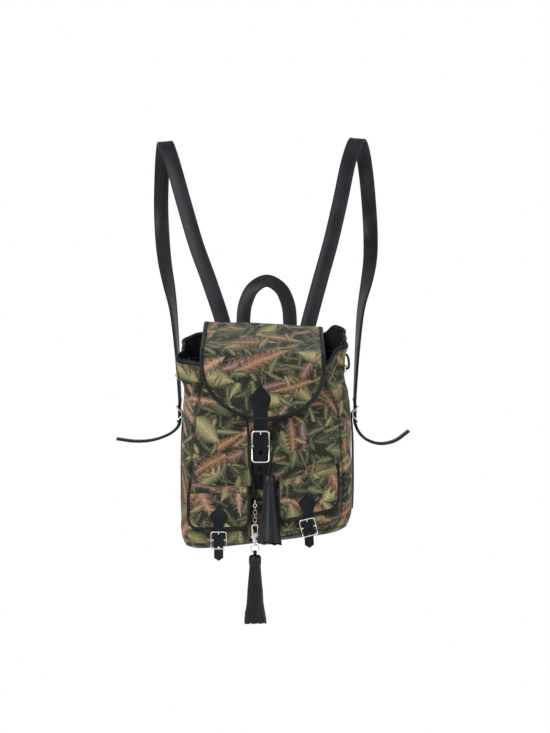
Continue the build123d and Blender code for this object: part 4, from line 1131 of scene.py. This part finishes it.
def makePocket(side):
    own = pocket[side]
    half, tall, front, fillet, bend = (pocket[key] for key in ("half", "tall", "front", "fillet", "bend"))
    edge = front + fillet

    def outline(inset):
        return roundedBox(half - inset, tall - inset, max(0.1, pocket["corner"] - inset * 0.7), 8, 120)
    # how far each ring lies inside the outline, and its depth: side wall, rounded edge, front
    rings = [(0.0, -50.0), (0.0, -58.0), (-0.6, -65.0), (0.0, edge + 0.5)]
    for angle in range(15, 91, 15):
        turn = math.radians(angle)
        rings.append((fillet * (1 - math.cos(turn)), edge - fillet * math.sin(turn)))
    for share in (0.12, 0.28, 0.46, 0.64, 0.82, 1.0):
        rings.append((fillet + 27.0 * share, front - 0.9 * math.sin(share * math.pi / 2)))
    grid, laid = [], []
    for inset, depth in rings:
        flat = outline(max(0.0, inset)) * (1 - min(0.0, inset) / half)
        plan = flat + unit(outline(0.0)) * max(0.0, depth - edge)
        height = own["height"] + flat[:, 1] + own["slope"] * flat[:, 0]
        grid.append(np.stack([own["x"] + flat[:, 0], np.full(len(flat), depth), height], axis=1))
        laid.append(np.vstack([plan, plan[:1]]) / 1000 + np.array([own["shift"], 0.0]))
    grid = np.array(grid)
    grid[..., 1] -= softNoise(grid, 20.0, own["shift"]) * 0.8
    body = gridPiece(f"pocketCloth_{side}", inFrame(grid), tapestry, np.array(laid),
                     wrap=True, capStart=True, capEnd=True)
    tidyFaces(body)
    keep(body, "bag", "tapestry", f"pocket_body_{side}")

    middle, depth = own["height"], pocket["flapMiddle"]
    low = middle - pocket["flapTall"] + tall
    route = [(depth, middle - 30), (depth, middle + 25), (-50, middle + 35.2)]
    points, lengths = roundedRoute(route, (9,), 1.0)

    def halfAt(level):
        rise = max(0.0, bend - (level - low))
        return half - bend + math.sqrt(max(0.0, bend**2 - rise**2)) if rise else half
    grid, laid = coverGrid(points, lengths, own["x"], halfAt, own["slope"], low + bend, low + 0.3, 60, 1.6,
                           0.9, 0.0)
    cover, normals = coverPiece(f"pocketFlapCloth_{side}", grid, laid, pocket["thick"], own["shift"])
    keep(cover, "bag", "tapestry", f"pocket_flap_{side}")
    edging = bindingPiece(f"pocketFlapEdge_{side}", grid, normals, 4.8, 3.4)[0]
    keep(edging, "bag", "black_leather", f"pocket_binding_{side}")


for side in ("left", "right"):
    makePocket(side)
print("pockets ready")


straps = {
    "strapWidth": 20, "strapThick": 3.0, "handleWidth": 18, "handleThick": 3.5, "buckleDepth": 25,
    "buckleHeight": 164, "wall": 105, "middle": 4, "barGap": 2.3, "barLift": 2.2, "sewnGap": 0.3,
}
# stations: x, depth, height, then the direction the width takes there
sewnDepth = flap["rear"] + flap["thick"] / 2 + straps["sewnGap"]
handleDepth = sewnDepth + straps["handleThick"] / 2
handleHalf = [
    (-27, handleDepth, 249, 1, 0, 0), (-27, handleDepth, 264, 1, 0, 0),
    (-27, handleDepth + 1, 284, 1, 0, -0.05),
    (-25, handleDepth + 3, 303, 1, -0.1, -0.2), (-18, handleDepth + 5, 321, 0.75, -0.3, -0.65),
    (-8, handleDepth + 6, 331, 0.3, -0.45, -0.85), (3, handleDepth + 6.5, 335, 0, -0.5, -0.87)]
handleStations = handleHalf + [
    (6 - x, depth, height, -a, b, c) for x, depth, height, a, b, c in reversed(handleHalf[:-1])]
strapDepth = sewnDepth + straps["strapThick"] / 2
strapRoutes = {
    "left": [
        (-52, strapDepth, 249, 1, 0, 0), (-52.3, strapDepth, 264, 1, 0, 0),
        (-54.5, strapDepth + 1, 284, 1, 0, 0.2),
        (-71.5, 67, 335, 1, 0, 0.32), (-89, 75, 383, 1, 0, 0.33), (-106, 88, 440, 1, 0, 0.3),
        (-121, 101, 492, 1, 0, 0.25),
        (-131.7, 118, 521, 1, 0, 0.1), (-137, 150, 514, 1, 0, 0), (-141, 178, 487, 1, 0, 0),
        (-143, 192, 445, 1, 0, 0),
        (-141, 188, 402, 1, 0.2, 0), (-136, 165, 366, 0.9, 0.4, -0.1), (-128, 130, 332, 0.7, 0.6, -0.2),
        (-119, 92, 292, 0.4, 0.8, -0.4), (-112, 55, 240, 0.15, 0.9, -0.3)],
    "right": [
        (53.5, strapDepth, 249, -1, 0, 0), (54, strapDepth, 264, -1, 0, 0),
        (57, strapDepth + 1, 279, -1, 0, 0.2),
        (72, 66, 335, -1, 0, 0.27), (86, 74, 385, -1, 0, 0.27), (99, 87, 440, -1, 0, 0.24),
        (111, 102, 495, -1, 0, 0.2),
        (122.6, 118, 525, -1, 0, 0.1), (131, 150, 517, -1, 0, 0), (138, 178, 489, -1, 0, 0),
        (143, 192, 447, -1, 0, 0),
        (145, 188, 405, -1, 0.2, 0), (143, 165, 369, -0.9, 0.4, -0.1), (136, 130, 335, -0.7, 0.6, -0.2),
        (126, 92, 294, -0.4, 0.8, -0.4), (119.5, 55, 240, -0.15, 0.9, -0.3)],
}
strapTails = {
    "left": [(-111.5, 145), (-122, 137.5), (-141, 131), (-163, 129.5), (-186, 132.5)],
    "right": [(120, 141), (130, 131.5), (146, 126.5), (165, 130), (183, 142.5)],
}


def strapPiece(name, stations, width, thick, steps=7):
    stations = np.array(stations, dtype=float)
    path, across = throughPoints(stations[:, :3], steps), throughPoints(stations[:, 3:], steps)
    piece = sweep(name, inFrame(path), strapLeather, strapSection(width, thick), across)
    across, out = squareTo(unit(np.gradient(path, axis=0)), across)
    edges = [inFrame(path + across * (sign * (width / 2 - 1.8)) + out * (thick / 2 * face + 0.05 * face))
             for sign in (-1, 1) for face in (-1, 1)]
    return piece, edges


def makeHandle():
    piece, edges = strapPiece("handleStrap", handleStations, straps["handleWidth"], straps["handleThick"])
    keep(piece, "bag", "black_leather", "handle")
    keep(stitches("handleStitches", edges, 3.4, 2.4), "bag", "black_leather")


def sideWall(sign):
    return straps["middle"] + sign * (straps["wall"] + straps["barGap"])


def makeShoulderStrap(side, sign):
    strapX = sideWall(sign) + sign * (straps["barLift"] + straps["strapThick"] / 2)
    depth, height = straps["buckleDepth"], straps["buckleHeight"]
    through = [(strapX, depth, height + rise, 0, 1, 0) for rise in (22, 11, 0, -11)]
    loose = [(x, depth, fall, 0, 1, 0) for x, fall in strapTails[side]]
    stations = strapRoutes[side] + through + loose
    width, thick = straps["strapWidth"], straps["strapThick"]
    piece, edges = strapPiece(f"shoulderStrap_{side}", stations, width, thick, 6)
    keep(piece, "bag", "black_leather", f"shoulder_strap_{side}")
    keep(stitches(f"strapStitches_{side}", edges, 3.6, 2.5, 0.28), "bag", "black_leather")
    keep(softened(f"anchor_strap_{side}", strapLeather, 0.5), "bag", "black_leather", f"anchor_strap_{side}")


makeHandle()
makeShoulderStrap("left", -1)
makeShoulderStrap("right", 1)
print("straps ready")

# how far each sharp edge is eased, in millimetres
leatherTabs = {
    "flap_strap": 0.55, "buckle_chape": 0.45, "pocket_strap_left": 0.45, "pocket_strap_right": 0.45,
    "pocket_chape_left": 0.3, "pocket_chape_right": 0.3,
}
for node, ease in leatherTabs.items():
    keep(softened(node, patchLeather, ease), "bag", "black_leather", node)


# bar and rod are radii; rest is how high the strap lies over the bar's middle
buckles = {
    "main": {"width": 22.6, "length": 39.6, "wire": 2.2, "bar": 1.2, "rest": 2.7, "strap": 2.0, "rod": 0.8},
    "pocket": {"width": 19.7, "length": 21.6, "wire": 1.6, "bar": 0.9, "rest": 2.2, "strap": 1.6,
               "rod": 0.6},
    "side": {"width": 26, "length": 21.4, "wire": 1.6, "bar": 0.9, "rest": 2.2, "strap": 3.0, "rod": 0.6},
}


def makeBuckle(kind, suffix, origin, across, up, body):
    # rounded frame arched over the strap, its centre bar, and the prong wrapped round that bar
    own, node = buckles[kind], f"{kind}_buckle"
    wire, barRadius, rod, end = own["wire"], own["bar"], own["rod"], own["length"] / 2
    across, up = Vector(across).normalized(), Vector(up).normalized()
    out = across.cross(up)

    def put(x, y, z):
        return tuple(Vector(origin) + across * (x / 1000) + up * (y / 1000) + out * (z / 1000))
    half, tall = own["width"] / 2 - wire / 2, end - wire / 2
    rise = own["rest"] + own["strap"] + 0.3 + wire / 2
    bend = 1.4 * wire
    side = [(-end, rise), (bend - end, rise), (-bend, 0), (bend, 0), (end - bend, rise), (end, rise)]
    profile = roundedRoute(side, [wire] * 4, 0.3)[0]
    flat = roundedBox(half, tall, 1.5 * wire, 6, 96)
    lift = np.interp(flat[:, 1], profile[:, 0], profile[:, 1])
    loop = [put(x, y, z) for (x, y), z in zip(flat, lift)]
    keep(wirePiece(f"{node}Wire{suffix}", loop, wire / 2, True), "bag", "nickel", f"{node}_frame{suffix}")
    bar = [put(x, 0, 0) for x in (-half, half)]
    keep(wirePiece(f"{node}Bar{suffix}", bar, barRadius, False), "bag", "nickel")
    over = rise + wire / 2 + rod + 0.1
    tip = end - 2 * wire
    foot = tip - 0.6 * (over - rod)
    side = [(barRadius, rod), (foot, rod), (tip, over), (end - wire / 4, over)]
    line = roundedRoute(side, [2 * rod, 1.5 * rod], 0.5)[0]
    prong = wirePiece(f"{node}Prong{suffix}", [put(0, y, z) for y, z in line], rod, False, 12)
    eye = barRadius + 0.1 + rod * 0.5
    wrapped = [(-1.3, -0.5), (-1.3, 0.3), (-0.9, 0.5), (0.9, 0.5), (1.3, 0.3), (1.3, -0.5)]
    rings = [[put(x * rod, (eye + grow * rod) * math.cos(turn), (eye + grow * rod) * math.sin(turn))
              for turn in fullTurn(20)] for x, grow in wrapped]
    keep(turnedPiece(f"{node}Wrap{suffix}", [rings], nickelPlate, smooth=False), body, "nickel")
    keep(prong, body, "nickel", f"{node}_prong{suffix}")


lean = math.radians(flap["tilt"])
closure = at(flap["barX"], flap["barDepth"], flap["barHeight"])
makeBuckle("main", "", closure, (1, 0, 0), (0, -math.sin(lean), math.cos(lean)), "main_prong")
for side in ("left", "right"):
    own = pocket[side]
    turn = math.atan(own["slope"])
    bar = at(own["x"], pocket["barDepth"], own["height"] - pocket["barDrop"])
    across, up = (math.cos(turn), 0, math.sin(turn)), (-math.sin(turn), 0, math.cos(turn))
    makeBuckle("pocket", f"_{side}", bar, across, up, f"pocket_prong_{side}")
for side, sign in (("left", -1), ("right", 1)):
    bar = at(sideWall(sign), straps["buckleDepth"], straps["buckleHeight"])
    makeBuckle("side", f"_{side}", bar, (0, sign, 0), (0, 0, 1), f"side_prong_{side}")
print("buckles ready")


def chainLine(centre, facesFront, long, wide, wire):
    # a stadium-shaped wire loop
    straight, bend = (long - wide) / 2, wide / 2 - wire
    across = Vector((1, 0, 0)) if facesFront else Vector((0, 1, 0))
    points = []
    for start, shift in ((0, straight), (180, -straight)):
        for step in range(13):
            angle = math.radians(start + 15 * step)
            x, z = bend * math.cos(angle), shift + bend * math.sin(angle)
            points.append(tuple(centre + across * (x / 1000) + Vector((0, 0, 1)) * (z / 1000)))
    return points


def makeChain():
    x, depth, wire, radius = (chain[key] for key in ("x", "depth", "wire", "ringRadius"))
    pieces = []
    for step in range(chain["count"]):
        pivot = chain["top"] - step * chain["pitch"]
        middle = pivot + chain["rise"] - (chain["long"] - 2 * wire) / 2
        line = chainLine(at(x, depth, middle), step % 2 == 1, chain["long"], chain["wide"], wire)
        link = wirePiece(f"chainLink{step + 1}", line, wire * 1.08, True, 10)
        pieces.append(keep(link, f"link_{step + 1}", "nickel", f"chain_link_{step + 1}"))
    fittings = (("cord_end", 0.25, "bag"), ("clasp_body", 0.35, "clasp"), ("clasp_trigger", 0.2, "trigger"))
    for node, ease, body in fittings:
        pieces.append(keep(softened(node, nickelPlate, ease), body, "nickel", node))
    clasp = chain["top"] - chain["count"] * chain["pitch"]
    ringPivot = clasp - chain["eyeDrop"] - chain["eyeBore"] - chain["eyeWall"] / 2
    middle = ringPivot + chain["ringDrop"] - radius
    line = [tuple(at(x + radius * math.cos(turn), depth, middle + radius * math.sin(turn)))
            for turn in fullTurn(48)]
    keep(wirePiece("tasselRing", line, chain["ringWire"], True, 12), "ring", "nickel", "tassel_ring")
    return pieces, middle - radius


tassels = {
    "left": {"length": 86, "width": 25, "depth": 25, "headTop": 2.4, "seed": 2.0, "wave": 2.2,
             "body": "tassel"},
    "right": {"length": 85, "width": 27, "depth": 12, "headTop": 0.0, "seed": 7.0, "wave": 1.0,
              "body": "bag"},
    # radius and drop of the turned head, then neck, share of the spread and number of strips in each layer
    "head": [(0.02, 0.0), (2.2, 0.0), (5.2, 0.5), (6.6, 1.6), (7.4, 3.2), (7.5, 9.0), (7.2, 12.6),
             (6.8, 13.2), (0.02, 13.2)],
    "layers": [(5.9, 1.0, 24), (3.2, 0.55, 12)], "fringeTop": 12.6, "mouth": 5.6,
}


def makeTassel(side, top, axis):
    own, body = tassels[side], tassels[side]["body"]
    axis, across = Vector(axis).normalized(), Vector((1, 0, 0))
    deep = axis.cross(across).normalized()
    turned = Matrix((across, -deep, -axis)).transposed().to_4x4()
    turned.translation = Vector(top)
    spins = [(math.cos(turn), math.sin(turn)) for turn in fullTurn(40)]
    rings = [[turned @ (Vector((radius * x, radius * y, -(own["headTop"] + drop))) / 1000) for x, y in spins]
             for radius, drop in tassels["head"]]
    head = turnedPiece(f"tasselHead_{side}", [rings], tasselLeather, closed=False)
    keep(head, body, "black_leather", f"tassel_head_{side}")
    if side == "left":
        around = [Vector((0, math.cos(turn), math.sin(turn))) for turn in fullTurn(32)]
        loop = [Vector(top) + way * 0.0022 for way in around]
        tab = sweep("tasselLoop", loop, tasselLeather, ovalSection(0.6, 2.0, 12), around, closed=True)
        keep(tab, body, "black_leather")
    drop = (own["headTop"] + tassels["fringeTop"]) / 1000
    place = turned @ Matrix.Translation((0, 0, -drop))
    flare = (own["width"] / 2 - tassels["mouth"]) / 1000
    for layer, (neck, share, count) in enumerate(tassels["layers"]):
        seedLine = polyCurve("seedLine", [[(0, 0, 0), (0, 0, 0.001)]])
        strips = treeResult(f"tasselFringe{layer}_{side}", seedLine, fringeTree, {
            "Count": count, "Neck": neck / 1000, "Length": own["length"] / 1000 - drop, "Strip": 0.0027,
            "Thick": 0.0009, "Spread": flare * share, "Depth Share": own["depth"] / own["width"],
            "Wave": own["wave"] / 1000, "Seed": own["seed"] + layer, "Material": tasselLeather}, place)
        keep(strips, body, "black_leather", *([f"tassel_fringe_{side}"] if layer == 0 else []))
    return head


chainPieces, tasselHeight = makeChain()
makeTassel("left", at(chain["x"], chain["depth"], tasselHeight), (0, 0, -1))
rightHead = makeTassel("right", tasselTop, rightAxis)
print("tassels ready")
